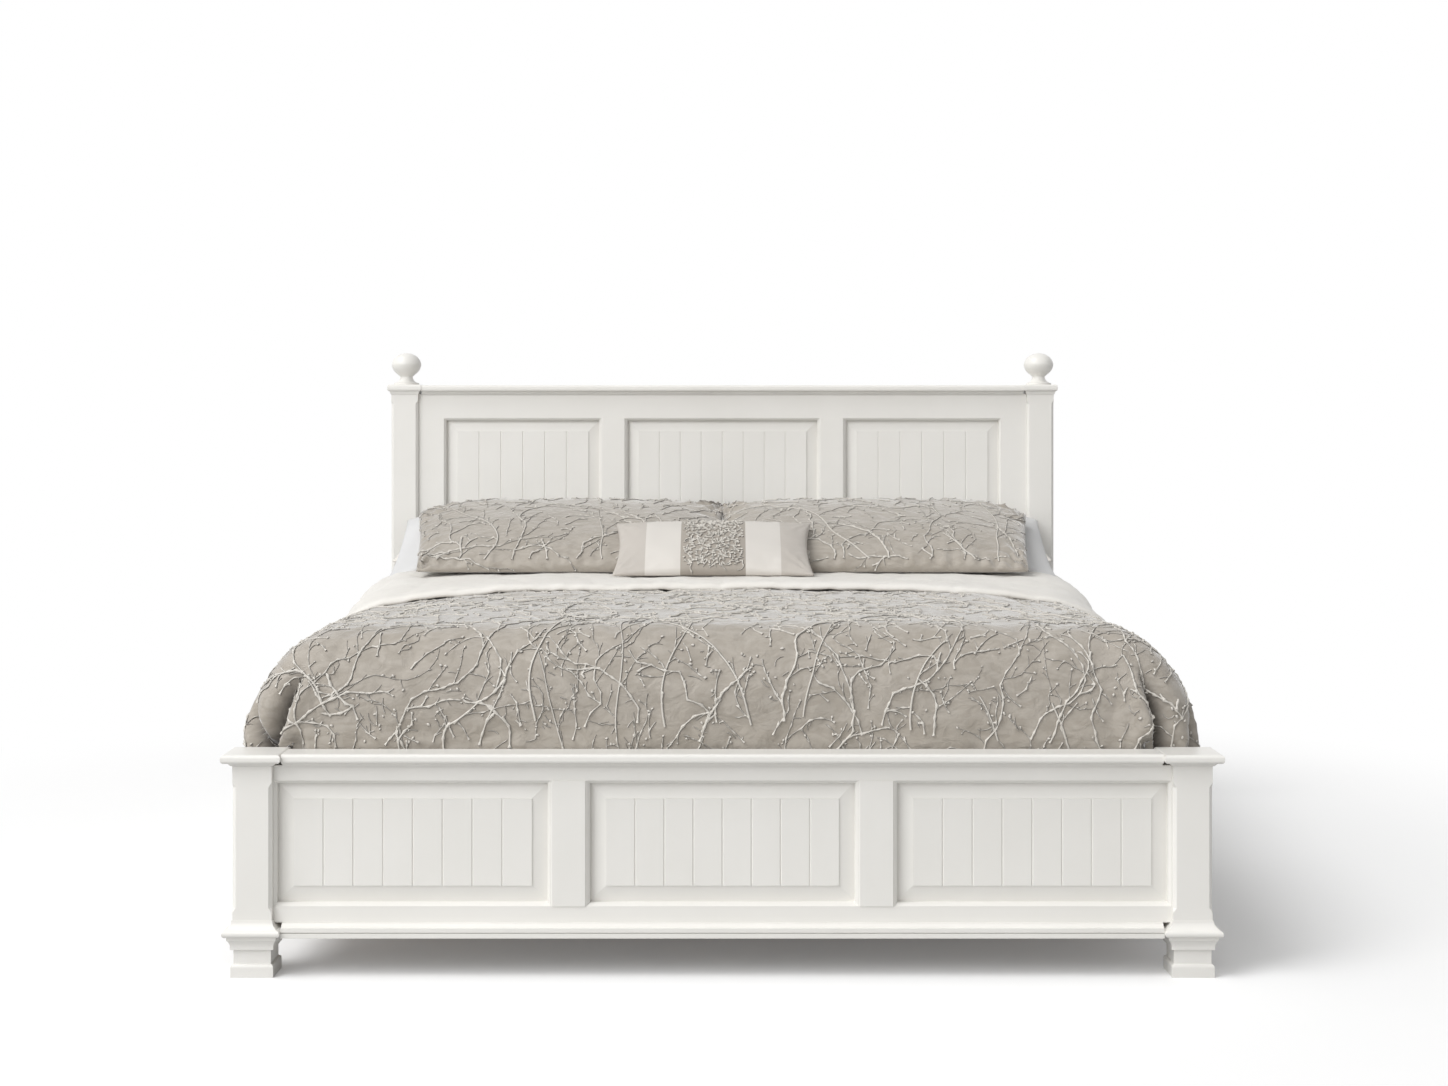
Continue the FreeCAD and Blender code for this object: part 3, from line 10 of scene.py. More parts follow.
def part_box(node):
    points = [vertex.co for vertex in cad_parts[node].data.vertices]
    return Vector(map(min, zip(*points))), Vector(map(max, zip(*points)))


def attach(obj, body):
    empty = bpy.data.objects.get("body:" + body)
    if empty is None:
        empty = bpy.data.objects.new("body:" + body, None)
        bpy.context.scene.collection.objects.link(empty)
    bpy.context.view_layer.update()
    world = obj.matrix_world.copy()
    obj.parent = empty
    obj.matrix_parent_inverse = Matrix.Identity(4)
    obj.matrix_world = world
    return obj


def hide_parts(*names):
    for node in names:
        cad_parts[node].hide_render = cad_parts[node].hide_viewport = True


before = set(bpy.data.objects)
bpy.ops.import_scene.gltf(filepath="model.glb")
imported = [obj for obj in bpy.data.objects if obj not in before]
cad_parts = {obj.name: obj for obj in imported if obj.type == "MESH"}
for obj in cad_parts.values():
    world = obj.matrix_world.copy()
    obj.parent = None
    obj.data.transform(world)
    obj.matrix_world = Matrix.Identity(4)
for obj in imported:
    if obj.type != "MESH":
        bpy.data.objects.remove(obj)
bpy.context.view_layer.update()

bpy.context.scene.view_settings.view_transform = "Standard"


# ---------------------------------------------------------------- painted timber
# Boards, posts, mouldings and turned finials of hardwood, sprayed with a warm white satin lacquer.
# Their shapes are the frame's own. The lacquer drifts a little in tone and gloss, softens the sharp
# edges and dries with a fine orange peel.

def shader_of(material):
    """The one shader of a material. Plain values are set on its own sockets."""
    return material.node_tree.nodes["Principled BSDF"]


def new_material(name, colour, roughness):
    """A material with a colour and a roughness."""
    material = bpy.data.materials.new(name)
    material.use_nodes = True
    shader_of(material).inputs["Base Color"].default_value = (*colour, 1)
    shader_of(material).inputs["Roughness"].default_value = roughness
    return material


def join(source, target):
    """A link between two sockets of one material."""
    source.id_data.links.new(source, target)


def add_node(material, kind, settings=None, **inputs):
    """A node with its settings, and its inputs (i0 is the first) set to a value or linked."""
    node = material.node_tree.nodes.new("ShaderNode" + kind)
    for key, value in (settings or {}).items():
        setattr(node, key, value)
    for key, value in inputs.items():
        socket = node.inputs[int(key[1:]) if key[1:].isdigit() else key.replace("_", " ")]
        if isinstance(value, bpy.types.NodeSocket):
            join(value, socket)
        else:
            socket.default_value = value
    return node


def object_place(material, scale=(1, 1, 1)):
    """Object coordinates, stretched along each axis."""
    place = add_node(material, "TexCoord").outputs["Object"]
    return add_node(material, "Mapping", Vector=place, Scale=scale).outputs["Vector"]


def clouds(material, scale, stretch=(1, 1, 1), **more):
    """Smooth noise over the piece's own coordinates."""
    return add_node(material, "TexNoise", Vector=object_place(material, stretch), Scale=scale,
                    **more).outputs["Fac"]


def two_tones(material, factor, first, second, low, high):
    """A colour that runs from one tone to another as a factor goes from low to high."""
    ramp = add_node(material, "ValToRGB", Fac=factor)
    for end, place, tone in zip(ramp.color_ramp.elements, (low, high), (first, second)):
        end.position = place
        end.color = (*tone, 1)
    return ramp.outputs["Color"]


def mottle(material, size, first, second):
    """Colour that drifts between two tones, in patches of a size in metres."""
    tone = two_tones(material, clouds(material, 1 / size, Detail=4), first, second, 0.3, 0.7)
    join(tone, shader_of(material).inputs["Base Color"])


def roughen(material, height, strength, depth, normal=None):
    """Bump of a depth in metres from a height socket, over another normal where one is given."""
    bump = add_node(material, "Bump", Height=height, Strength=strength, Distance=depth)
    if normal is not None:
        join(normal, bump.inputs["Normal"])
    join(bump.outputs["Normal"], shader_of(material).inputs["Normal"])


PAINT = (0.80, 0.785, 0.75)
PAINT_SHADE = (0.775, 0.76, 0.722)
PAINT_EDGE_ROUND = 0.0008
painted = new_material("white_lacquer", PAINT, 0.34)
mottle(painted, 0.18, PAINT_SHADE, PAINT)
soft_edge = add_node(painted, "Bevel", {"samples": 6}, Radius=PAINT_EDGE_ROUND)
roughen(painted, clouds(painted, 900), 0.12, 0.0002, soft_edge.outputs["Normal"])
paint_gloss = add_node(painted, "MapRange", Value=clouds(painted, 14, (1, 1, 0.2)),
                       To_Min=0.30, To_Max=0.42)
join(paint_gloss.outputs["Result"], shader_of(painted).inputs["Roughness"])


# ---------------------------------------------------------------- bare timber, steel and plastic
# Slats, ledges, beam and legs are planed pine left bare. Hooks, plates, brackets and screws are
# zinc-plated steel, and the levelling feet have nylon pads.

PINE = (0.60, 0.43, 0.25)
PINE_LATE = (0.44, 0.27, 0.13)
pine = new_material("planed_pine", PINE, 0.62)
pine_rings = add_node(pine, "TexWave", {"wave_type": "RINGS", "rings_direction": "X"},
                      Vector=object_place(pine, (0.35, 3.2, 5.1)), Scale=9, Distortion=3.5, Detail=3)
pine_tone = two_tones(pine, pine_rings.outputs["Fac"], PINE_LATE, PINE, 0, 0.45)
join(pine_tone, shader_of(pine).inputs["Base Color"])
roughen(pine, clouds(pine, 9, (4, 60, 60)), 0.3, 0.0004)

steel = new_material("zinc_plated_steel", (0.56, 0.56, 0.58), 0.38)
shader_of(steel).inputs["Metallic"].default_value = 1
mottle(steel, 0.012, (0.48, 0.48, 0.50), (0.62, 0.62, 0.63))
roughen(steel, clouds(steel, 90, (1, 1, 30)), 0.2, 0.0001)

nylon = new_material("black_nylon", (0.035, 0.035, 0.037), 0.5)
mottle(nylon, 0.01, (0.03, 0.03, 0.032), (0.045, 0.045, 0.047))
roughen(nylon, clouds(nylon, 1500), 0.3, 0.0002)

FRAME_FINISHES = {"white_paint": painted, "bare_pine": pine, "steel": steel, "leveller_plastic": nylon}
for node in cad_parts.values():
    for held in node.material_slots:
        if held.material.name in FRAME_FINISHES:
            held.material = FRAME_FINISHES[held.material.name]


# ---------------------------------------------------------------- box springs
# Two split box springs, ticking stretched over a timber box, with a cord sewn along each edge.

def maths(material, operation, first, second=0.5):
    """One step of arithmetic on sockets or plain numbers."""
    step = add_node(material, "Math", {"operation": operation}, i0=first, i1=second)
    return step.outputs["Value"]


def cloth_material(name, light, dark, weave, roughness, patch=0.25):
    """Woven cloth: crossed threads, a faint sheen, and soft drift to a darker tone if one is given."""
    material = new_material(name, light, roughness)
    shader = shader_of(material)
    shader.inputs["Sheen Weight"].default_value = 0.15
    shader.inputs["Sheen Roughness"].default_value = 0.4
    shader.inputs["Specular IOR Level"].default_value = 0.25
    if dark:
        mottle(material, patch, dark, light)
    threads = []
    for direction in ("X", "Y"):
        wave = add_node(material, "TexWave", {"bands_direction": direction},
                        Vector=object_place(material), Scale=0.314 / weave, Distortion=0.6)
        threads.append(wave.outputs["Fac"])
    roughen(material, maths(material, "MAXIMUM", *threads), 0.25, weave * 0.3)
    return material


def put_in_scene(name, data):
    """A mesh, curve, lamp or camera as an object of the scene."""
    thing = bpy.data.objects.new(name, data)
    bpy.context.collection.objects.link(thing)
    return thing


def to_object(mesh, name, material):
    """A finished bmesh as an object."""
    data = bpy.data.meshes.new(name)
    mesh.to_mesh(data)
    mesh.free()
    data.materials.append(material)
    data.shade_smooth()
    return put_in_scene(name, data)


def final_mesh(thing):
    """The mesh that an object's curve or modifiers come to."""
    return bpy.data.meshes.new_from_object(thing.evaluated_get(bpy.context.evaluated_depsgraph_get()))


def part_of_bed(thing, replaced=None):
    """A finished piece rides with the bed. One that stands for a part of the frame names it, and that part
    is hidden."""
    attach(thing, "root")
    if replaced:
        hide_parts(replaced)


def padded_block(low, high, corner, edge, cut, sag, seed):
    """A block with rounded corners in plan and rounded edges, cut into small faces and made
    slightly uneven, as stuffing is."""
    mesh = bmesh.new()
    bmesh.ops.create_cube(mesh, size=1)
    low, high = Vector(low), Vector(high)
    bmesh.ops.scale(mesh, vec=high - low, verts=mesh.verts)
    bmesh.ops.translate(mesh, vec=(low + high) / 2, verts=mesh.verts)
    uprights = [e for e in mesh.edges if abs(e.verts[0].co.z - e.verts[1].co.z) > 1e-4]
    bmesh.ops.bevel(mesh, geom=uprights, offset=corner, segments=6, profile=0.5, affect="EDGES",
                    material=-1)
    rims = [e for e in mesh.edges if abs(e.verts[0].co.z - e.verts[1].co.z) < 1e-4
            and len({round(f.normal.z) for f in e.link_faces}) > 1]
    bmesh.ops.bevel(mesh, geom=rims, offset=edge, segments=4, profile=0.5, affect="EDGES", material=-1)
    for axis in (0, 1):
        across = Vector((axis == 0, axis == 1, 0))
        steps = int((high[axis] - low[axis]) / cut)
        for step in range(1, steps):
            place = low.copy()
            place[axis] += (high[axis] - low[axis]) * step / steps
            bmesh.ops.bisect_plane(mesh, geom=mesh.verts[:] + mesh.edges[:] + mesh.faces[:],
                                   plane_co=place, plane_no=across)
    for vert in mesh.verts:
        vert.co.z += sag * noise(vert.co * 5 + Vector((seed, 0, 0)))
    bmesh.ops.recalc_face_normals(mesh, faces=mesh.faces)
    return mesh


def edge_cords(name, low, high, corner, edge, thick, material):
    """The cords sewn once round a block, where its top and bottom edges start to round."""
    xs, ys = (low[0] + corner, high[0] - corner), (low[1] + corner, high[1] - corner)
    corners = ((1, 1, 0), (0, 1, 90), (0, 0, 180), (1, 0, 270))
    for place, level in (("top", high[2] - edge), ("bottom", low[2] + edge)):
        curve = bpy.data.curves.new(name, "CURVE")
        curve.dimensions = "3D"
        curve.bevel_depth = thick / 2
        curve.bevel_resolution = 2
        curve.materials.append(material)
        line = curve.splines.new("POLY")
        line.use_cyclic_u = True
        line.points.add(7 * len(corners) - 1)
        for number, point in enumerate(line.points):
            i, j, start = corners[number // 7]
            angle = radians(start + 15 * (number % 7))
            point.co = (xs[i] + corner * cos(angle), ys[j] + corner * sin(angle), level, 1)
        part_of_bed(curve_to_mesh(curve, f"{name}_{place}_cord"))


def curve_to_mesh(curve, name):
    """The curve's tube as a mesh object of the scene."""
    holder = put_in_scene(name + "_line", curve)
    data = final_mesh(holder)
    data.name = name
    bpy.data.objects.remove(holder)
    data.shade_smooth()
    return put_in_scene(name, data)


TICKING = (0.78, 0.78, 0.76)
ticking = cloth_material("box_spring_ticking", TICKING, (0.73, 0.73, 0.71), 0.0012, 0.8)
SPRING_GAP = 0.0015
SPRING_CORNER = 0.030
SPRING_EDGE = 0.009
SPRING_CORD = 0.006
spring_low, spring_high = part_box("box_springs")
for side, (left, right) in (("left", (spring_low.x, -SPRING_GAP)), ("right", (SPRING_GAP, spring_high.x))):
    low = (left, spring_low.y, spring_low.z)
    high = (right, spring_high.y, spring_high.z)
    spring = to_object(padded_block(low, high, SPRING_CORNER, SPRING_EDGE, 0.12, 0, 1),
                       f"box_spring_{side}", ticking)
    part_of_bed(spring, "box_springs" if side == "left" else None)
    edge_cords(f"box_spring_{side}", low, high, SPRING_CORNER, SPRING_EDGE, SPRING_CORD, ticking)


# ---------------------------------------------------------------- mattress
# An inner-sprung mattress in a white fitted sheet. It shows only at the head, beside and below the
# pillows, where the sheet is drawn smooth over the rounded edge.

SHEETING = (0.66, 0.66, 0.66)
sheeting = cloth_material("white_cotton", SHEETING, (0.625, 0.625, 0.625), 0.0007, 0.75)
MATTRESS_CORNER = 0.090
MATTRESS_EDGE = 0.070
MATTRESS_CORD = 0.007
mattress_low, mattress_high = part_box("mattress")
mattress = to_object(padded_block(mattress_low, mattress_high - Vector((0, 0, 0.002)), MATTRESS_CORNER,
                                  MATTRESS_EDGE, 0.08, 0.0015, 2), "mattress_in_sheet", sheeting)
part_of_bed(mattress, "mattress")
edge_cords("mattress", mattress_low, mattress_high, MATTRESS_CORNER, MATTRESS_EDGE, MATTRESS_CORD,
           sheeting)


# ---------------------------------------------------------------- comforter
# A thick filled comforter in grey cotton sateen, laid over the bed. It rolls softly over both sides,
# hangs past the mattress, and its foot end is pushed down between the mattress and the footboard,
# where the spare cloth of each corner folds in.

SIDE_OUT, SIDE_OUT_FOOT = 0.147, 0.185
SIDE_FALL_HEAD, SIDE_FALL_FOOT = 0.080, 0.250
FOOT_SHAPE_FROM, FOOT_SHAPE_RUN = -0.25, 0.65
FOOT_OUT, FOOT_FALL = 0.125, 0.200
CORNER_FULL = 0.19
TOP_LEVEL = 0.713
TOP_CROWN = 0.006
DOME_HEAD, DOME_FOOT, DOME_FROM, DOME_RUN, DOME_MOST = 0.030, 0.006, 0.45, 0.42, 1.6
DOME_GONE_AT, DOME_GROWS = 0.55, 0.45
QUILT_HALF = 1.017
QUILT_FRONT = -1.033
QUILT_HEM = 0.290
QUILT_HEAD = 0.760
QUILT_THICK = 0.026
BAND_MIDDLE = 0.090
BAND_BOW = 0.030
BAND_BOW_FROM, BAND_BOW_RUN = 0.35, 0.62
BAND_STEP, BAND_STEP_IN, BAND_STEP_RUN = 0.016, 0.014, 0.120
QUILT_CELL = 0.0112
QUARTER = pi / 2


def eased(share):
    """0 to 1 with soft ends."""
    share = min(max(share, 0.0), 1.0)
    return share * share * (3 - 2 * share)


def band_edge(across):
    """Where the turned-down band starts: it bows a little toward the foot at the sides."""
    return BAND_MIDDLE - BAND_BOW * eased((abs(across) - BAND_BOW_FROM) / BAND_BOW_RUN)


def drape(across, along, half, top, front, reach, hem):
    """The point of the bed's surface that a point of the flat cloth comes to, how far over the edge
    it lies (1 where the cloth starts to hang straight) and how far round the corner. The cloth's
    side edge, at its reach from the middle, hangs at the height of the hem."""
    toward_foot = eased((FOOT_SHAPE_FROM - along) / FOOT_SHAPE_RUN)
    side_out = SIDE_OUT + (SIDE_OUT_FOOT - SIDE_OUT) * toward_foot
    side_fall = SIDE_FALL_HEAD + (SIDE_FALL_FOOT - SIDE_FALL_HEAD) * toward_foot
    side_arc = QUARTER * (side_out + side_fall) / 2
    foot_arc = QUARTER * (FOOT_OUT + FOOT_FALL) / 2
    side = (abs(across) - half + side_out) / side_arc
    foot = (front + FOOT_OUT - along) / foot_arc
    over, turn = max(side, foot, 0.0), 0.0
    if side > 0 and foot > 0:
        turn = (foot / side if side >= foot else 2 - side / foot) * pi / 4
    elif foot > 0:
        turn = QUARTER
    round_share = turn / QUARTER
    fall = side_fall + (FOOT_FALL - side_fall) * eased(round_share)
    arc = side_arc + (foot_arc - side_arc) * eased(round_share)
    out = sin(min(over, 1) * QUARTER) * (1 + CORNER_FULL * sin(2 * turn) ** 2)
    dome = DOME_HEAD * eased((DOME_GONE_AT - along) / DOME_GROWS)
    dome += (DOME_FOOT - dome) * toward_foot
    kept = (top - side_fall - dome * DOME_MOST - hem) / (reach - half + side_out - side_arc)
    hang_kept = kept + (1 - kept) * eased(round_share)
    down = fall * (1 - cos(min(over, 1) * QUARTER)) + max(over - 1, 0) * arc * hang_kept
    x = min(abs(across), half - side_out)
    y = max(along, front + FOOT_OUT)
    crown = TOP_CROWN * (1 - (x / (half - side_out)) ** 2)
    x += side_out * out * cos(turn)
    down += dome * min(max((x - DOME_FROM) / DOME_RUN, 0) ** 2, DOME_MOST)
    place = Vector((copysign(x, across), y - FOOT_OUT * out * sin(turn), top + crown - down))
    return place, over, turn


# Each corner fold: where it starts and ends on the way round the corner (degrees, 0 at the side
# and 90 at the front) and in height, how deep it is, and which way its steep side faces.
CORNER_FOLDS = {
    -1: ((70, 0.655, 52, 0.450, 0.040, 1), (20, 0.590, 46, 0.450, 0.038, -1)),
    1: ((68, 0.665, 60, 0.450, 0.038, 1), (24, 0.580, 33, 0.420, 0.024, -1)),
}
# How deep a fold must be for the painted shade in it to be at its darkest.
FOLD_SHADE_FULL = 0.032


def corner_fold(hand, turn, height):
    """How deep a corner's folds are at one place on it."""
    depth = 0.0
    for start, high, end, low, deep, facing in CORNER_FOLDS[hand]:
        share = (high - height) / (high - low)
        if share <= 0:
            continue
        middle = start + (end - start) * min(share, 1.6)
        away = (degrees(turn) - middle) * facing
        width = 7 if away < 0 else 3
        depth += deep * eased(share * 1.8) * (exp(-(away / width) ** 2)
                                              - 0.28 * exp(-((away - 8) / 5) ** 2))
    return depth


def soft_lumps(place, seed):
    """The slow swell of the filling and the finer puckers of the cloth, in metres."""
    stretched = Vector((place.x * 9, place.y * 22, place.z * 22))
    crease = 1 - abs(noise(place * 6 + Vector((seed, 4, 0))))
    fine_crease = 1 - abs(noise(place * 13 + Vector((seed, 0, 9))))
    return (0.0055 * noise(place * 3.1 + Vector((seed, 0, 0)))
            - 0.0050 * crease ** 14 - 0.0026 * fine_crease ** 12
            + 0.0036 * noise(place * 9 + Vector((0, seed, 0)))
            + 0.0022 * noise(place * 22 + Vector((0, 0, seed)))
            + 0.0020 * noise(stretched + Vector((seed, seed, 0))))


def shell(mesh, name, thick, material):
    """The draped face as a closed padded shell whose other face lies inside it."""
    thing = to_object(mesh, name, material)
    solidify = thing.modifiers.new("filling", "SOLIDIFY")
    solidify.thickness = thick
    solidify.offset = -1
    solidify.use_quality_normals = True
    data = final_mesh(thing)
    thing.modifiers.clear()
    thing.data = data
    return thing


def flat_grid(low, high, cell):
    """A flat cloth between two corners, cut into even squares."""
    mesh = bmesh.new()
    wide, long = high[0] - low[0], high[1] - low[1]
    bmesh.ops.create_grid(mesh, x_segments=round(wide / cell), y_segments=round(long / cell), size=0.5)
    bmesh.ops.scale(mesh, vec=(wide, long, 1), verts=mesh.verts)
    bmesh.ops.translate(mesh, vec=((low[0] + high[0]) / 2, (low[1] + high[1]) / 2, 0), verts=mesh.verts)
    return mesh


def face_up(mesh):
    """Turns a draped cloth's faces to the upper side."""
    bmesh.ops.recalc_face_normals(mesh, faces=mesh.faces)
    if sum(face.normal.z for face in mesh.faces) < 0:
        bmesh.ops.reverse_faces(mesh, faces=mesh.faces)


UP = Vector((0, 0, 1))
CAP_TOP, CAP_LOW = 0.472, 0.432
CAP_BACK, CAP_REACH, CAP_SOFT = -1.0085, 0.905, 0.03
RAIL_TOP, RAIL_FACE = 0.345, 0.9945
RAIL_CLEAR, RAIL_SOFT = 0.012, 0.05
RAIL_SEEN_FROM = -0.90
STITCH_RUNS, STITCH_DEEP, STITCH_WIDE = 0.150, 0.0028, 0.006
SWAY = 0.006


def quilt_rows(across, along, place):
    """Shallow dimples of the dashed quilting lines that run up the bed."""
    run = across / STITCH_RUNS + 0.03 * noise(place * 4)
    from_line = abs(run - round(run)) * STITCH_RUNS
    dash = 0.5 + 0.5 * noise(Vector((round(run) * 3.7, along * 22, 0)))
    return -STITCH_DEEP * dash * exp(-(from_line / STITCH_WIDE) ** 2)


def comforter_place(across, along):
    """A point of the comforter's outer face, and how deep in a fold it lies."""
    tucked = 0.0
    step = eased((along - band_edge(across) + BAND_STEP_RUN) / (BAND_STEP_RUN - 0.004))
    half = QUILT_HALF - BAND_STEP_IN * step
    place, over, turn = drape(across, along, half, TOP_LEVEL - BAND_STEP * step, QUILT_FRONT,
                              cloth_half, QUILT_HEM)
    hand = -1 if across < 0 else 1
    outward = Vector((hand * cos(turn), -sin(turn), 0))
    hang = eased((TOP_LEVEL - place.z - 0.10) / 0.35)
    if 0 < turn < QUARTER:
        tucked = corner_fold(hand, turn, place.z)
        place -= outward * tucked
    if turn < QUARTER:
        sway = sin(place.y * 9.5 + hand * 1.3) + 0.6 * sin(place.y * 17 + hand * 2.1)
        place += Vector((hand, 0, 0)) * cos(turn) * SWAY * hang * sway
    lift = (soft_lumps(place, 3) + quilt_rows(across, along, place)) * (1 - 0.8 * step)
    tip = min(over, 1) * QUARTER
    place += (outward * sin(tip) + UP * cos(tip)) * lift
    by_cap = eased((abs(place.x) - CAP_REACH) / CAP_SOFT + 1) * eased((place.z - CAP_LOW) / CAP_SOFT + 1)
    by_cap *= eased((CAP_TOP - place.z) / CAP_SOFT + 1)
    place.y += by_cap * max(CAP_BACK - place.y, 0)
    by_rail = eased((RAIL_TOP - place.z) / RAIL_SOFT + 1) * eased((0.7 - turn) / 0.6)
    stand_off = max(RAIL_FACE + RAIL_CLEAR - abs(place.x), 0)
    place.x += copysign(stand_off * by_rail, place.x)
    return place, max(tucked, 0.0)


side_hang = TOP_LEVEL - SIDE_FALL_HEAD - QUILT_HEM
foot_hang = TOP_LEVEL - FOOT_FALL - QUILT_HEM
cloth_half = QUILT_HALF - SIDE_OUT + QUARTER * (SIDE_OUT + SIDE_FALL_HEAD) / 2 + side_hang
cloth_foot = QUILT_FRONT + FOOT_OUT - QUARTER * (FOOT_OUT + FOOT_FALL) / 2 - foot_hang
quilt_mesh = flat_grid((-cloth_half, cloth_foot), (cloth_half, QUILT_HEAD), QUILT_CELL)
# Each point keeps how deep in a corner fold it lies, so that the cloth there can be darkened as painted
# shade.
fold_shade_mark = quilt_mesh.verts.layers.float.new("fold")
for vert in quilt_mesh.verts:
    vert.co, tucked = comforter_place(vert.co.x, vert.co.y)
    vert[fold_shade_mark] = min(tucked / FOLD_SHADE_FULL, 1)
    vert.co.z = max(vert.co.z, QUILT_HEM + 0.004 * sin(vert.co.x * 9 + vert.co.y * 7))
face_up(quilt_mesh)
quilt_surface = BVHTree.FromBMesh(quilt_mesh)

SATEEN = (0.400, 0.365, 0.320)
SATEEN_DARK = (0.350, 0.316, 0.272)
# The near-black tone below is painted shade. It is mixed into the cloth according to how deep in a corner
# fold the cloth lies.
SATEEN_FOLD_SHADE = (0.075, 0.066, 0.056)
sateen = cloth_material("grey_sateen", SATEEN, None, 0.0008, 0.55)
sateen_marks = clouds(sateen, 1, (14, 26, 26), Detail=5, Distortion=1.8)
fold_shade_share = add_node(sateen, "Attribute", {"attribute_name": "fold"})
shaded = add_node(sateen, "Mix", {"data_type": "RGBA"},
                  i0=maths(sateen, "POWER", fold_shade_share.outputs["Fac"], 1.6),
                  i6=two_tones(sateen, sateen_marks, SATEEN_DARK, SATEEN, 0.40, 0.60),
                  i7=(*SATEEN_FOLD_SHADE, 1))
sateen_shader = shader_of(sateen)
join(shaded.outputs[2], sateen_shader.inputs["Base Color"])
sateen_creases = clouds(sateen, 1, (22, 34, 34), Detail=4, Distortion=1.2)
roughen(sateen, sateen_creases, 0.7, 0.006, sateen_shader.inputs["Normal"].links[0].from_socket)
sateen_shader.inputs["Sheen Weight"].default_value = 1.0
sateen_shader.inputs["Sheen Roughness"].default_value = 0.42
comforter = shell(quilt_mesh, "comforter_quilt", QUILT_THICK, sateen)
MATTRESS_REST = mattress_high.z + 0.001
MATTRESS_FLAT = 0.93
THINNEST = 0.008
PRESSED_UNDER = 0.012
HEM_FACE = RAIL_FACE + 0.002
for vert in comforter.data.vertices:
    if vert.co.y <= RAIL_SEEN_FROM:
        continue
    if vert.co.z < RAIL_TOP + 0.01 and MATTRESS_FLAT < abs(vert.co.x) < HEM_FACE:
        vert.co.x = copysign(HEM_FACE, vert.co.x)
    if abs(vert.co.x) < MATTRESS_FLAT:
        outer = quilt_surface.ray_cast(Vector((vert.co.x, vert.co.y, 2)), -UP)[0]
        vert.co.z = max(vert.co.z, min(MATTRESS_REST, outer.z - THINNEST if outer else 0))
for vert in mattress.data.vertices:
    near, normal, _, _ = quilt_surface.find_nearest(vert.co)
    under = (near - vert.co).dot(normal)
    if under < PRESSED_UNDER and vert.co.y < QUILT_HEAD - 0.05:
        vert.co -= normal * (PRESSED_UNDER - under)
part_of_bed(comforter, "comforter")


# ---------------------------------------------------------------- branch embroidery
# Cord couched onto the sateen in bare, twiggy branches: long stems that fork and cross, knotted
# twigs and single knots. The branches are grown over the finished cloth from seeded chance.

CORD_STEP = 0.008
CORD_LIGHT = (0.60, 0.57, 0.52)
# Painted light and shade on each cord: its tone runs from a near-black painted shade low on its flanks to
# its own light colour at the crest, and the side turned to LIT_FROM is painted lighter.
CORD_PAINTED_SHADE = (0.075, 0.064, 0.052)
HALF_SUNK = 0.55
LIT_FROM = Vector((-0.55, -0.45, 0.70))
LIT_SHARE = 0.42
CORD_FULL = 3.3
CROWD_CELL = 0.012
UPWARD = 0.035
KINK = 0.38
FORK = (20, 42)
TO_RIGHT, TO_HEAD = Vector((1, 0, 0)), Vector((0, 1, 0))
SIDES = ((-1, "left"), (1, "right"))


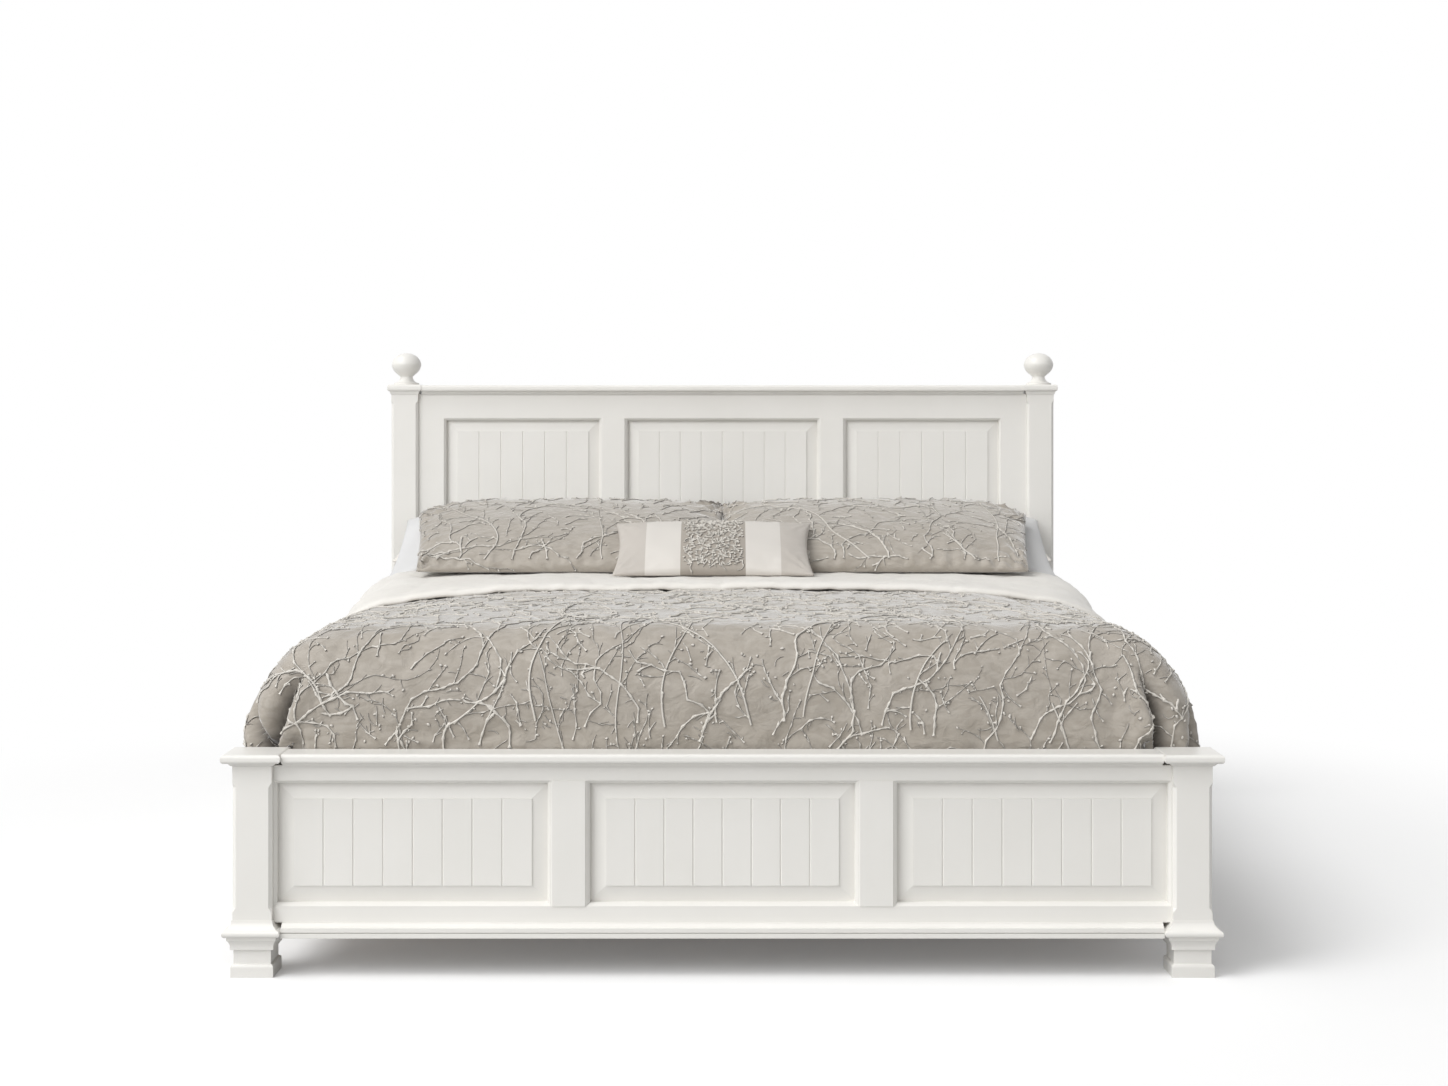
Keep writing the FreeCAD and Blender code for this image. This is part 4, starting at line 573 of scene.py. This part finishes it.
class Stitching:
    """Lines of raised cord that follow one piece of cloth."""

    def __init__(self, name, surface, seed, allowed, up):
        self.name, self.surface, self.allowed, self.up = name, surface, allowed, up
        self.chance = random.Random(seed)
        self.draw = self.chance.uniform
        self.curve = bpy.data.curves.new(name, "CURVE")
        self.curve.dimensions = "3D"
        self.curve.bevel_depth = 0.001
        self.curve.bevel_resolution = 0
        self.curve.use_fill_caps = True
        self.curve.materials.append(cording)
        self.taken, self.runs = {}, 0

    def cell(self, place):
        """The small cube of space that a place is in."""
        return tuple(int(value // CROWD_CELL) for value in place)

    def crowded(self, place):
        """Whether cord already lies in a place's cell or next to it."""
        x, y, z = self.cell(place)
        span = (-1, 0, 1)
        return any((x + i, y + j, z + k) in self.taken for i in span for j in span for k in span)

    def lay(self, trail):
        """One run of cord through (place, normal, radius in millimetres)."""
        if len(trail) < 2:
            return
        line = self.curve.splines.new("POLY")
        line.points.add(len(trail) - 1)
        for point, (place, normal, radius) in zip(line.points, trail):
            point.co = (*(place + normal * radius * 0.001 * HALF_SUNK), 1)
            point.radius = radius

    def walk(self, place, heading, length, radius, wander, knotted, most_crossed=2):
        """Steps over the cloth from a place, bending as it goes, until it leaves the cloth. A
        knotted run also kinks and thickens at every few steps."""
        trail, bend = [], self.draw(-wander, wander)
        until_kink, crossed = 1, 0
        self.runs += 1
        for step in range(max(int(length / CORD_STEP), 2)):
            near, normal, _, _ = self.surface.find_nearest(place)
            if near is None or not self.allowed(near, normal):
                break
            crossed += step > 2 and self.taken.get(self.cell(near), self.runs) != self.runs
            if crossed > most_crossed:
                break
            self.taken[self.cell(near)] = self.runs
            heading = (heading - normal * heading.dot(normal)).normalized()
            swell, until_kink = 1.0, until_kink - 1
            if knotted and until_kink <= 0:
                swell = self.draw(1.25, 1.75)
                heading = Matrix.Rotation(self.chance.gauss(0, KINK), 3, normal) @ heading
                until_kink = self.chance.randint(2, 4)
            elif knotted:
                swell = self.draw(0.75, 0.95)
            taper = 1 - 0.45 * step * CORD_STEP / length
            trail.append((near, normal, radius * swell * taper, heading.copy()))
            bend = bend * 0.92 + self.draw(-wander, wander) * 0.28
            heading = Matrix.Rotation(bend, 3, normal) @ heading + self.up * UPWARD
            place = near + heading.normalized() * CORD_STEP
        self.lay([item[:3] for item in trail])
        return trail

    def knot(self, place, normal, radius):
        """A single raised knot, a little longer than it is wide."""
        turn = Matrix.Rotation(self.draw(0, pi), 3, normal)
        aside = turn @ (normal.orthogonal().normalized() * radius * 0.0014)
        self.lay([(place - aside, normal, radius * 0.3), (place - aside * 0.4, normal, radius),
                  (place + aside * 0.4, normal, radius), (place + aside, normal, radius * 0.3)])

    def branch(self, place, heading, length, radius, wander=0.075, depth=0):
        """A stem, its side branches and their twigs."""
        knotted = depth > 0 or self.chance.random() < 0.75
        trail = self.walk(place, heading, length, radius, wander, knotted, (4, 1, 0)[depth])
        spacing = (0.050, 0.026)[min(depth, 1)]
        travelled = self.draw(0.3, 1.2) * spacing
        side = self.chance.choice((-1, 1))
        while depth < 2 and travelled < (len(trail) - 2) * CORD_STEP:
            near, normal, thick, ahead = trail[int(travelled / CORD_STEP)]
            turn = side * radians(self.draw(*FORK))
            way = Matrix.Rotation(turn, 3, normal) @ ahead
            reach = (self.draw(0.06, 0.26), self.draw(0.014, 0.040))[depth]
            self.branch(near, way, reach, max(thick * (0.74, 0.85)[depth], 1.15), wander * 1.5, depth + 1)
            side = -side if self.chance.random() < 0.75 else side
            travelled += spacing * self.draw(0.6, 1.5)
        if depth and trail and self.chance.random() < 0.5:
            self.knot(trail[-1][0], trail[-1][1], self.draw(1.9, 3.0))
        return trail

    def stem(self, start, ahead, aside, lean, length, radius, *more):
        """A branch that sets out within a lean, in degrees, of the way ahead."""
        turn = radians(self.draw(-lean, lean))
        heading = ahead * cos(turn) + aside * sin(turn)
        self.branch(start, heading, self.draw(*length), self.draw(*radius), *more)

    def fill(self, spots, lean, length, radius):
        """Branches in the places that are still bare, growing upward within a lean."""
        for spot in spots:
            near, normal, _, _ = self.surface.find_nearest(spot)
            if near is None or not self.allowed(near, normal) or self.crowded(near):
                continue
            across = self.up.cross(normal).normalized()
            self.stem(near, self.up.normalized(), across, lean, length, radius, 0.10, 1)

    def scatter(self, places, reach):
        """Loose knots and short curled stitches about each of a few places."""
        for place in places:
            for _ in range(self.chance.randint(5, 12)):
                aside = Vector(self.chance.gauss(0, reach) for _ in range(3))
                near, normal, _, _ = self.surface.find_nearest(place + aside)
                if near is None or not self.allowed(near, normal):
                    continue
                if self.chance.random() < 0.55:
                    self.knot(near, normal, self.draw(1.8, 3.2))
                else:
                    heading = Matrix.Rotation(self.draw(0, 6.28), 3, normal) @ normal.orthogonal()
                    self.walk(near, heading, self.draw(0.02, 0.05), 1.5, 0.5, False)

    def finish(self, shade_lift=0.0):
        """All the runs as one piece. Each point keeps its height above the cloth, plus painted light on the
        side turned to LIT_FROM, so low and far sides take a painted shade. A lift pales that painted shade
        all over."""
        thing = curve_to_mesh(self.curve, self.name)
        raised = thing.data.attributes.new("raised", "FLOAT", "POINT")
        for vert, kept in zip(thing.data.vertices, raised.data):
            near, normal, _, _ = self.surface.find_nearest(vert.co)
            lit = (LIT_FROM - normal * LIT_FROM.dot(normal)).normalized().dot(vert.normal)
            kept.value = shade_lift + (vert.co - near).dot(normal) * 1000 / CORD_FULL + LIT_SHARE * lit
        part_of_bed(thing)


cording = new_material("couched_cord", CORD_LIGHT, 0.45)
shader_of(cording).inputs["Sheen Weight"].default_value = 0.2
# Painted light and shade: the cord is painted dark where it sits low and on its side away from LIT_FROM,
# and light at its crest and on its lit side.
cord_height_and_lit_side = add_node(cording, "Attribute", {"attribute_name": "raised"})
cord_painted_shading = two_tones(cording, cord_height_and_lit_side.outputs["Fac"], CORD_PAINTED_SHADE, CORD_LIGHT, 0.12, 0.85)
join(cord_painted_shading, shader_of(cording).inputs["Base Color"])
roughen(cording, clouds(cording, 420), 0.5, 0.0008)


def on_quilt(place, normal):
    """The comforter's cloth that can be seen: above the footboard and the hem, before the band."""
    return place.y < band_edge(place.x) - 0.006 and place.z > QUILT_HEM + 0.02


FOOT_STEM_GAP = 0.060
FOOT_STEM_LOW = 0.43
for piece, (left, right) in enumerate(((-0.97, -0.32), (-0.32, 0.32), (0.32, 0.97)), 1):
    stems = Stitching(f"comforter_foot_branches_{piece}", quilt_surface, 10 + piece, on_quilt,
                      Vector((0, 0.5, 1)))
    count = round((right - left) / FOOT_STEM_GAP)
    for number in range(count):
        across = left + (right - left) * (number + stems.draw(0.1, 0.9)) / count
        start = Vector((across, QUILT_FRONT, FOOT_STEM_LOW + stems.draw(0, 0.12)))
        stems.stem(start, UP, TO_RIGHT, 24, (0.30, 0.80), (2.1, 3.0))
    spots = [Vector((stems.draw(left, right), QUILT_FRONT, stems.draw(0.40, 0.72))) for _ in range(260)]
    stems.fill(spots, 50, (0.05, 0.16), (1.6, 2.2))
    stems.scatter(spots[:8], 0.030)
    stems.finish()

TOP_STEMS = 16
# The cord on the comforter's top takes less painted shade, as the top catches more light.
TOP_SHADE_LIFT = 0.30
for hand, side in SIDES:
    stems = Stitching(f"comforter_top_branches_{side}", quilt_surface, 22 + hand, on_quilt, TO_HEAD)
    for number in range(TOP_STEMS):
        start = Vector((hand * stems.draw(0, 0.93), stems.draw(-0.92, 0.00), TOP_LEVEL))
        stems.stem(start, TO_HEAD, TO_RIGHT, 80, (0.25, 0.55), (2.0, 2.8))
    spots = [Vector((hand * stems.draw(0, 0.95), stems.draw(-1.0, 0.07), TOP_LEVEL)) for _ in range(420)]
    stems.fill(spots, 80, (0.05, 0.15), (1.5, 2.0))
    stems.finish(TOP_SHADE_LIFT)

SIDE_STEMS = 15
for hand, side in SIDES:
    stems = Stitching(f"comforter_{side}_branches", quilt_surface, 33 + hand, on_quilt, UP)
    for number in range(SIDE_STEMS):
        along = -0.98 + 1.04 * (number + stems.draw(0.1, 0.9)) / SIDE_STEMS
        start = Vector((hand * QUILT_HALF, along, QUILT_HEM + 0.03))
        stems.stem(start, UP, TO_HEAD, 30, (0.35, 0.75), (2.1, 2.9))
    spots = [Vector((hand * QUILT_HALF, stems.draw(-1, 0.08), stems.draw(0.32, 0.68))) for _ in range(380)]
    stems.fill(spots, 55, (0.05, 0.16), (1.7, 2.4))
    stems.finish()


# ---------------------------------------------------------------- turned-down band
# The comforter's own ivory side, turned down over the bed's head end: a soft double layer with a
# rolled edge at the turn and a line of stitching just behind it.

BAND_END = 0.775
BAND_THICK = 0.0135
BAND_HALF = 1.022
BAND_TOP = 0.7302
BAND_HEM = 0.330
BAND_ROLL = 0.017
BAND_STITCH, BAND_STITCH_DEEP = 0.042, 0.0045
BAND_PUCKER = 0.0022
BAND_REAR = 0.45
BAND_CELL = 0.010


def band_place(across, along):
    """A point of the band's outer face."""
    from_edge = along - BAND_MIDDLE
    bow = band_edge(across) - BAND_MIDDLE + 0.004 * noise(Vector((across * 4, 2.0, 0)))
    along += bow * eased((BAND_REAR - along) / (BAND_REAR - BAND_MIDDLE))
    place, over, turn = drape(across, along, BAND_HALF, BAND_TOP - TOP_CROWN, -9, band_half_cloth, BAND_HEM)
    hand = -1 if across < 0 else 1
    tuck = 0.0
    if from_edge < BAND_ROLL:
        tuck = BAND_ROLL - (BAND_ROLL ** 2 - (BAND_ROLL - max(from_edge, 0)) ** 2) ** 0.5
    dash = 0.75 + 0.25 * noise(Vector((across * 30, 0, 0)))
    seam = BAND_STITCH_DEEP * dash * exp(-((from_edge - BAND_STITCH) / 0.007) ** 2)
    pucker = BAND_PUCKER * noise(Vector((across * 34, along * 5, 4))) * exp(-from_edge / 0.09)
    middle_seam = 0.0020 * exp(-(across / 0.004) ** 2)
    lift = 0.7 * soft_lumps(place, 8) - seam - tuck + pucker - middle_seam
    tip = min(over, 1) * QUARTER
    outward = Vector((hand * sin(tip), 0, cos(tip)))
    sway = 0.005 * eased((BAND_TOP - place.z - 0.1) / 0.3) * sin(place.y * 11 + hand)
    place += outward * lift + Vector((hand * sway, 0, 0))
    return place


IVORY = (0.78, 0.76, 0.72)
IVORY_SHADE = (0.745, 0.72, 0.675)
ivory = cloth_material("ivory_sateen", IVORY, IVORY_SHADE, 0.0008, 0.55, 0.3)
band_drop = BAND_TOP - SIDE_FALL_HEAD - BAND_HEM
band_half_cloth = BAND_HALF - SIDE_OUT + QUARTER * (SIDE_OUT + SIDE_FALL_HEAD) / 2 + band_drop
BAND_LONG = BAND_END - BAND_MIDDLE
band_mesh = flat_grid((-band_half_cloth, 0), (band_half_cloth, BAND_LONG), BAND_CELL)
for vert in band_mesh.verts:
    vert.co.y = BAND_MIDDLE + BAND_LONG * (vert.co.y / BAND_LONG) ** 1.5
    vert.co = band_place(vert.co.x, vert.co.y)
face_up(band_mesh)
band = shell(band_mesh, "turned_down_band", BAND_THICK, ivory)
part_of_bed(band, "turned_down_sheet")


# ---------------------------------------------------------------- pillows
# Each pillow is two panels of cloth sewn together round the edge and filled. The filling rounds both
# faces, draws the long seams in between the corners, and gathers the corners into creased ears.

BED_LEVEL = 0.7313
PILLOW_CELL = 0.0085


def plump(share, squareness):
    """Height of the filling, 1 in the middle and 0 at a seam, at a place from -1 to 1 across."""
    return max(1 - abs(share) ** squareness, 0) ** 0.5


def filled_pillow(size, crown, back, seed, squareness=(2.6, 2.0), end_pull=0.030, side_pull=0.05,
                  foot_in=(0, 0), crease=0.004, cell=PILLOW_CELL, ear_drop=(0, 0)):
    """A pillow lying on its back, with its bottom seam along the X axis, as a bmesh. foot_in draws
    the left and right bottom corners in, and ear_drop draws its left and right top corners down."""
    long, chord = size
    mesh = bmesh.new()
    bmesh.ops.create_grid(mesh, x_segments=round(long / cell), y_segments=round(chord / cell), size=1)
    copied = bmesh.ops.duplicate(mesh, geom=mesh.verts[:] + mesh.edges[:] + mesh.faces[:])
    back_verts = {item for item in copied["geom"] if isinstance(item, bmesh.types.BMVert)}
    bmesh.ops.reverse_faces(mesh, faces=[f for f in copied["geom"] if isinstance(f, bmesh.types.BMFace)])
    shift = Vector((seed * 7.3, seed * 3.1, 0))
    for vert in mesh.verts:
        u = 0.45 * vert.co.x + 0.55 * sin(vert.co.x * QUARTER)
        v = 0.45 * vert.co.y + 0.55 * sin(vert.co.y * QUARTER)
        front = vert not in back_verts
        swell = plump(u, squareness[0]) * plump(v, squareness[1])
        x = u * long / 2 * (1 - end_pull * (1 - v * v)) - u * foot_in[u > 0] * ((1 - v) / 2) ** 2
        y = v * chord / 2 * (1 - side_pull * (1 - u * u))
        y -= ear_drop[u > 0] * eased((abs(u) - 0.70) / 0.30) * ((1 + v) / 2) ** 2
        from_ends, from_sides = (1 - abs(u)) * long / 2, (1 - abs(v)) * chord / 2
        from_corner = hypot(from_ends, from_sides)
        fan = atan2(from_sides, from_ends)
        way = 1 if front else -0.7
        gather = crease * exp(-(from_corner / 0.11) ** 2) * (
            0.6 - abs(sin(fan * 6.5 + 1.5 * noise(Vector((u * 9, v * 9, seed))))))
        from_seam = min(from_ends, from_sides)
        along_seam = x if from_sides < from_ends else y
        pucker = crease * exp(-from_seam / 0.035) * noise(
            Vector((along_seam * 42, seed, from_seam * 9)))
        place = Vector((x, y, 0)) + shift
        lumps = 0.0055 * noise(place * 5) + 0.0028 * noise(place * 13)
        height = (crown if front else back) * swell + 0.002 * min(from_seam / 0.004, 1)
        ripple = (gather + pucker) * min(from_seam / 0.012, 1) + lumps * min(swell * 1.5, 1)
        vert.co = Vector((x, y + chord / 2, way * ripple + (height if front else -height)))
    bmesh.ops.remove_doubles(mesh, verts=mesh.verts, dist=0.00005)
    bmesh.ops.recalc_face_normals(mesh, faces=mesh.faces)
    if mesh.calc_volume(signed=True) < 0:
        bmesh.ops.reverse_faces(mesh, faces=mesh.faces)
    return mesh


def lean_place(tilt, middle, from_head, lift):
    """Where a pillow stands: its bottom seam on the bedding, leaning back by its tilt."""
    seam = Vector((middle, mattress_high.y - from_head, BED_LEVEL + lift))
    return Matrix.Translation(seam) @ Matrix.Rotation(radians(tilt), 4, "X")


def press(mesh, point, normal, soften=0.012):
    """Flattens a pillow where it lies against something, with a rounded start."""
    for vert in mesh.verts:
        depth = (vert.co - point).dot(normal)
        if depth < soften:
            kept = (depth + soften) ** 2 / (4 * soften) if depth > -soften else 0.0
            vert.co += normal * (kept - depth)


SHAM_TILT, SHAM_FROM_HEAD, SHAM_LIFT, SHAM_FLAT = 20.5, 0.588, 0.004, 0.024
CREAM_TILT, CREAM_FROM_HEAD, CREAM_LIFT, CREAM_FLAT = 13.5, 0.332, 0.016, 0.005
WHITE_TILT, WHITE_FROM_HEAD, WHITE_LIFT = 13.0, 0.438, 0.020
sham_frame = lean_place(SHAM_TILT, 0, SHAM_FROM_HEAD, SHAM_LIFT)
sham_face = (sham_frame.to_3x3() @ UP).normalized()
sham_back_point = sham_frame @ Vector((0, 0, -SHAM_FLAT))
cream_frame = lean_place(CREAM_TILT, 0, CREAM_FROM_HEAD, CREAM_LIFT)
cream_face = (cream_frame.to_3x3() @ UP).normalized()
cream_top_point = cream_frame @ Vector((0, 0, CREAM_FLAT))
bed_point = Vector((0, 0, BED_LEVEL))


# ---------------------------------------------------------------- cream pillows
# Two plain cream pillows lie lowest, against the headboard, almost hidden by the others.

CREAM = (0.79, 0.76, 0.71)
cream = cloth_material("cream_cotton", CREAM, (0.75, 0.72, 0.67), 0.0007, 0.75)
CREAM_SIZE, CREAM_CROWN, CREAM_BACK, CREAM_INNER = (0.900, 0.340), 0.030, 0.060, 0.066
for hand, side in SIDES:
    mesh = filled_pillow(CREAM_SIZE, CREAM_CROWN, CREAM_BACK, 31 + hand, cell=0.012)
    middle = hand * (CREAM_INNER + CREAM_SIZE[0] / 2)
    mesh.transform(lean_place(CREAM_TILT, middle, CREAM_FROM_HEAD, CREAM_LIFT))
    press(mesh, bed_point, UP, 0.004)
    press(mesh, cream_top_point, -cream_face, 0.004)
    part_of_bed(to_object(mesh, f"cream_pillow_{side}", cream),
                "cream_pillows" if hand < 0 else None)


# ---------------------------------------------------------------- white pillows
# Two white cotton pillows behind the shams. Their outer ends droop over the bed's shoulder.

WHITE_SIZE, WHITE_CROWN, WHITE_BACK, WHITE_INNER = (0.920, 0.440), 0.080, 0.060, 0.048
DROOP_FROM, DROOP_RUN, DROOP = 0.80, 0.165, 0.055
for hand, side in SIDES:
    mesh = filled_pillow(WHITE_SIZE, WHITE_CROWN, WHITE_BACK, 41 + hand, cell=0.011, crease=0.003)
    middle = hand * (WHITE_INNER + WHITE_SIZE[0] / 2)
    mesh.transform(lean_place(WHITE_TILT, middle, WHITE_FROM_HEAD, WHITE_LIFT))
    press(mesh, bed_point, UP, 0.006)
    press(mesh, sham_back_point - sham_face * 0.0005, -sham_face, 0.006)
    press(mesh, cream_top_point + cream_face * 0.0005, cream_face, 0.006)
    for vert in mesh.verts:
        outer = eased((abs(vert.co.x) - DROOP_FROM) / DROOP_RUN)
        vert.co.z -= DROOP * outer * eased((0.93 - vert.co.y) / 0.33)
    part_of_bed(to_object(mesh, f"white_pillow_{side}_filled", sheeting),
                f"white_pillow_{side}")


# ---------------------------------------------------------------- shams
# Two long pillows in the comforter's embroidered sateen, lying back against the white ones. Their
# inner ends meet in the middle, and the cloth gathers a little at every corner.

SHAM_SIZE, SHAM_CROWN, SHAM_BACK, SHAM_INNER = (0.914, 0.481), 0.063, 0.060, -0.009
SHAM_PULLS = (0.034, 0.02)
SHAM_CREASE = 0.020
SHAM_FOOT_IN = (0.045, 0.01)
SHAM_EAR_DROP = (0.075, 0.012)
SHAM_STEMS = 14


def on_sham(place, normal):
    """The side of a sham that faces up and forward."""
    return normal.dot(sham_face) > 0.10


for hand, side in SIDES:
    mesh = filled_pillow(SHAM_SIZE, SHAM_CROWN, SHAM_BACK, 51 + hand, (3.4, 2.1), *SHAM_PULLS,
                         SHAM_FOOT_IN[::-hand], SHAM_CREASE, ear_drop=SHAM_EAR_DROP[::-hand])
    middle = hand * (SHAM_INNER + SHAM_SIZE[0] / 2)
    frame_here = lean_place(SHAM_TILT, middle, SHAM_FROM_HEAD, SHAM_LIFT)
    mesh.transform(frame_here)
    press(mesh, bed_point, UP, 0.006)
    press(mesh, sham_back_point, sham_face, 0.006)
    surface = BVHTree.FromBMesh(mesh)
    part_of_bed(to_object(mesh, f"sham_{side}_filled", sateen), f"sham_{side}")
    stems = Stitching(f"sham_{side}_branches", surface, 61 + hand, on_sham,
                      frame_here.to_3x3() @ Vector((-hand * 0.6, 0.8, 0)))
    for number in range(SHAM_STEMS):
        share = (number + stems.draw(0.1, 0.9)) / SHAM_STEMS
        start = frame_here @ Vector(((share - 0.5) * 0.94 * SHAM_SIZE[0], 0.02, 0.03))
        lean = radians(stems.draw(-25, 55)) * -hand
        heading = frame_here.to_3x3() @ Vector((sin(lean), cos(lean), 0))
        stems.branch(start, heading, stems.draw(0.30, 0.65), stems.draw(2.2, 3.0))
    spots = [frame_here @ Vector(((stems.chance.random() - 0.5) * SHAM_SIZE[0],
                                  stems.chance.random() * SHAM_SIZE[1], 0.06)) for _ in range(420)]
    stems.fill(spots, 60, (0.04, 0.14), (1.7, 2.3))
    stems.finish()


# ---------------------------------------------------------------- lumbar pillow
# A small pillow in front: taupe ends, ivory satin bands and a middle of cord sewn down in loops.

LUMBAR_SIZE, LUMBAR_CROWN, LUMBAR_BACK = (0.556, 0.286), 0.046, 0.040
LUMBAR_TILT, LUMBAR_FROM_HEAD, LUMBAR_LIFT, LUMBAR_ASIDE = 26.7, 0.730, 0.0016, -0.026
LUMBAR_PULLS = (0.055, 0.06)
LUMBAR_CELL = 0.007
TAUPE = (0.50, 0.465, 0.425)
SATIN = (0.64, 0.61, 0.57)
MIDDLE_CLOTH = (0.36, 0.325, 0.285)
BAND_INNER, BAND_OUTER = 0.088, 0.187
banded = cloth_material("banded_cloth", SATIN, None, 0.0007, 0.5)
mesh = filled_pillow(LUMBAR_SIZE, LUMBAR_CROWN, LUMBAR_BACK, 71, (2.4, 2.0), *LUMBAR_PULLS,
                     cell=LUMBAR_CELL)
lumbar_frame = lean_place(LUMBAR_TILT, LUMBAR_ASIDE, LUMBAR_FROM_HEAD, LUMBAR_LIFT)
mesh.transform(lumbar_frame)
press(mesh, bed_point + UP * 0.0004, UP, 0.004)
lumbar_surface = BVHTree.FromBMesh(mesh)
part_of_bed(to_object(mesh, "lumbar_pillow_filled", banded), "lumbar_pillow")
lumbar_place = add_node(banded, "SeparateXYZ",
                        Vector=add_node(banded, "TexCoord").outputs["Object"])
from_middle = maths(banded, "SUBTRACT", lumbar_place.outputs["X"], LUMBAR_ASIDE)
bands = add_node(banded, "ValToRGB", Fac=maths(banded, "ABSOLUTE", from_middle))
bands.color_ramp.interpolation = "CONSTANT"
bands.color_ramp.elements[0].color = (*MIDDLE_CLOTH, 1)
bands.color_ramp.elements[1].position = BAND_INNER
bands.color_ramp.elements[1].color = (*SATIN, 1)
bands.color_ramp.elements.new(BAND_OUTER).color = (*TAUPE, 1)
join(bands.outputs["Color"], shader_of(banded).inputs["Base Color"])


def on_lumbar_middle(place, normal):
    """The textured middle of the lumbar pillow's front."""
    return abs(place.x - LUMBAR_ASIDE) < BAND_INNER - 0.004 and normal.y < 0.5


loops = Stitching("lumbar_pillow_loops", lumbar_surface, 81, on_lumbar_middle, Vector())
LOOPS_ACROSS, LOOPS_UP = 14, 27
for across in range(LOOPS_ACROSS):
    for up in range(LOOPS_UP):
        spot = Vector((((across + loops.chance.random()) / LOOPS_ACROSS * 2 - 1) * BAND_INNER,
                       (up + loops.chance.random()) / LOOPS_UP * LUMBAR_SIZE[1], 0.05))
        near, normal, _, _ = lumbar_surface.find_nearest(lumbar_frame @ spot)
        if on_lumbar_middle(near, normal):
            heading = Matrix.Rotation(loops.draw(0, 6.28), 3, normal) @ normal.orthogonal()
            loops.walk(near, heading, loops.draw(0.02, 0.045), 2.4, 0.7, True, 99)
loops.finish()


# ---------------------------------------------------------------- floor and background
# A plain pale floor that runs out into a white background. Away from the bed it fades to white.

def seen_directly(tree_owner):
    """1 where the camera or a clear reflection looks, 0 for the light that falls on things."""
    path = add_node(tree_owner, "LightPath").outputs
    camera_or_gloss = maths(tree_owner, "MAXIMUM", path["Is Camera Ray"], path["Is Glossy Ray"])
    return maths(tree_owner, "MAXIMUM", camera_or_gloss, path["Is Transmission Ray"])


FLOOR_REACH = 30
FLOOR_NEAR, FLOOR_FAR = 1.7, 3.2
floor_mesh = bmesh.new()
bmesh.ops.create_grid(floor_mesh, x_segments=1, y_segments=1, size=FLOOR_REACH)
FLOOR_SEEN, FLOOR_BOUNCE = 0.88, 0.50
flooring = new_material("pale_floor", (FLOOR_SEEN,) * 3, 0.9)
floor_shader = shader_of(flooring)
floor_shader.inputs["Specular IOR Level"].default_value = 0
to_object(floor_mesh, "floor", flooring)
floor_out = add_node(flooring, "VectorMath", {"operation": "LENGTH"},
                     i0=object_place(flooring, (1, 1, 0)))
fade = add_node(flooring, "MapRange", {"interpolation_type": "SMOOTHSTEP"},
                Value=floor_out.outputs["Value"], From_Min=FLOOR_NEAR, From_Max=FLOOR_FAR)
floor_seen = seen_directly(flooring)
glow = add_node(flooring, "Emission", Color=(1, 1, 1, 1), Strength=1.0)
floor_mix = add_node(flooring, "MixShader",
                     Fac=maths(flooring, "MULTIPLY", fade.outputs["Result"], floor_seen),
                     i1=floor_shader.outputs["BSDF"], i2=glow.outputs["Emission"])
join(floor_mix.outputs["Shader"], flooring.node_tree.nodes["Material Output"].inputs["Surface"])
floor_tone = add_node(flooring, "Mix", {"data_type": "FLOAT"},
                      i0=floor_seen, i2=FLOOR_BOUNCE, i3=FLOOR_SEEN)
join(floor_tone.outputs[0], floor_shader.inputs["Base Color"])
FLOOR_LIFT = 0.11
floor_shader.inputs["Emission Color"].default_value = (1, 1, 1, 1)
join(maths(flooring, "MULTIPLY", floor_seen, FLOOR_LIFT), floor_shader.inputs["Emission Strength"])

world = bpy.data.worlds.new("studio")
bpy.context.scene.world = world
world.use_nodes = True
WORLD_LEVEL = 0.43
background = world.node_tree.nodes["Background"]
background.inputs["Color"].default_value = (1, 1, 1, 1)
world_level = add_node(world, "Mix", {"data_type": "FLOAT"}, i0=seen_directly(world),
                       i2=WORLD_LEVEL, i3=1.0)
join(world_level.outputs[0], background.inputs["Strength"])


# ---------------------------------------------------------------- lamps and camera
# A broad soft light from the upper left in front. The camera stands level and looks straight at the
# foot of the bed, its picture shifted down.

def far_lamp(name, toward, angle, strength):
    """A distant lamp that shines from a direction, as wide in the sky as its angle."""
    lamp = bpy.data.lights.new(name, "SUN")
    lamp.angle = radians(angle)
    lamp.energy = strength
    put_in_scene(name, lamp).rotation_euler = Vector(toward).to_track_quat("Z", "Y").to_euler()


far_lamp("top_lamp", (-0.65, -0.30, 1.0), 30, 1.36)
far_lamp("front_lamp", (-0.50, -0.90, 0.30), 60, 1.24)
key = bpy.data.lights.new("key_lamp", "AREA")
key.size = 2.4
key.energy = 50
KEY_PLACE = Vector((-3.0, -3.3, 3.3))
KEY_AIM = Vector((0, -0.5, 0.5))
key_holder = put_in_scene("key_lamp", key)
key_holder.location = KEY_PLACE
key_holder.rotation_euler = (KEY_AIM - KEY_PLACE).to_track_quat("-Z", "Y").to_euler()

camera = bpy.data.cameras.new("camera")
camera.sensor_width = 36
camera.lens = 53.8
camera.shift_x = 0.00104
camera.shift_y = -0.085
camera_holder = put_in_scene("camera", camera)
camera_holder.location = (0, -5.619, 1.160)
camera_holder.rotation_euler = (QUARTER, 0, 0)
bpy.context.scene.camera = camera_holder
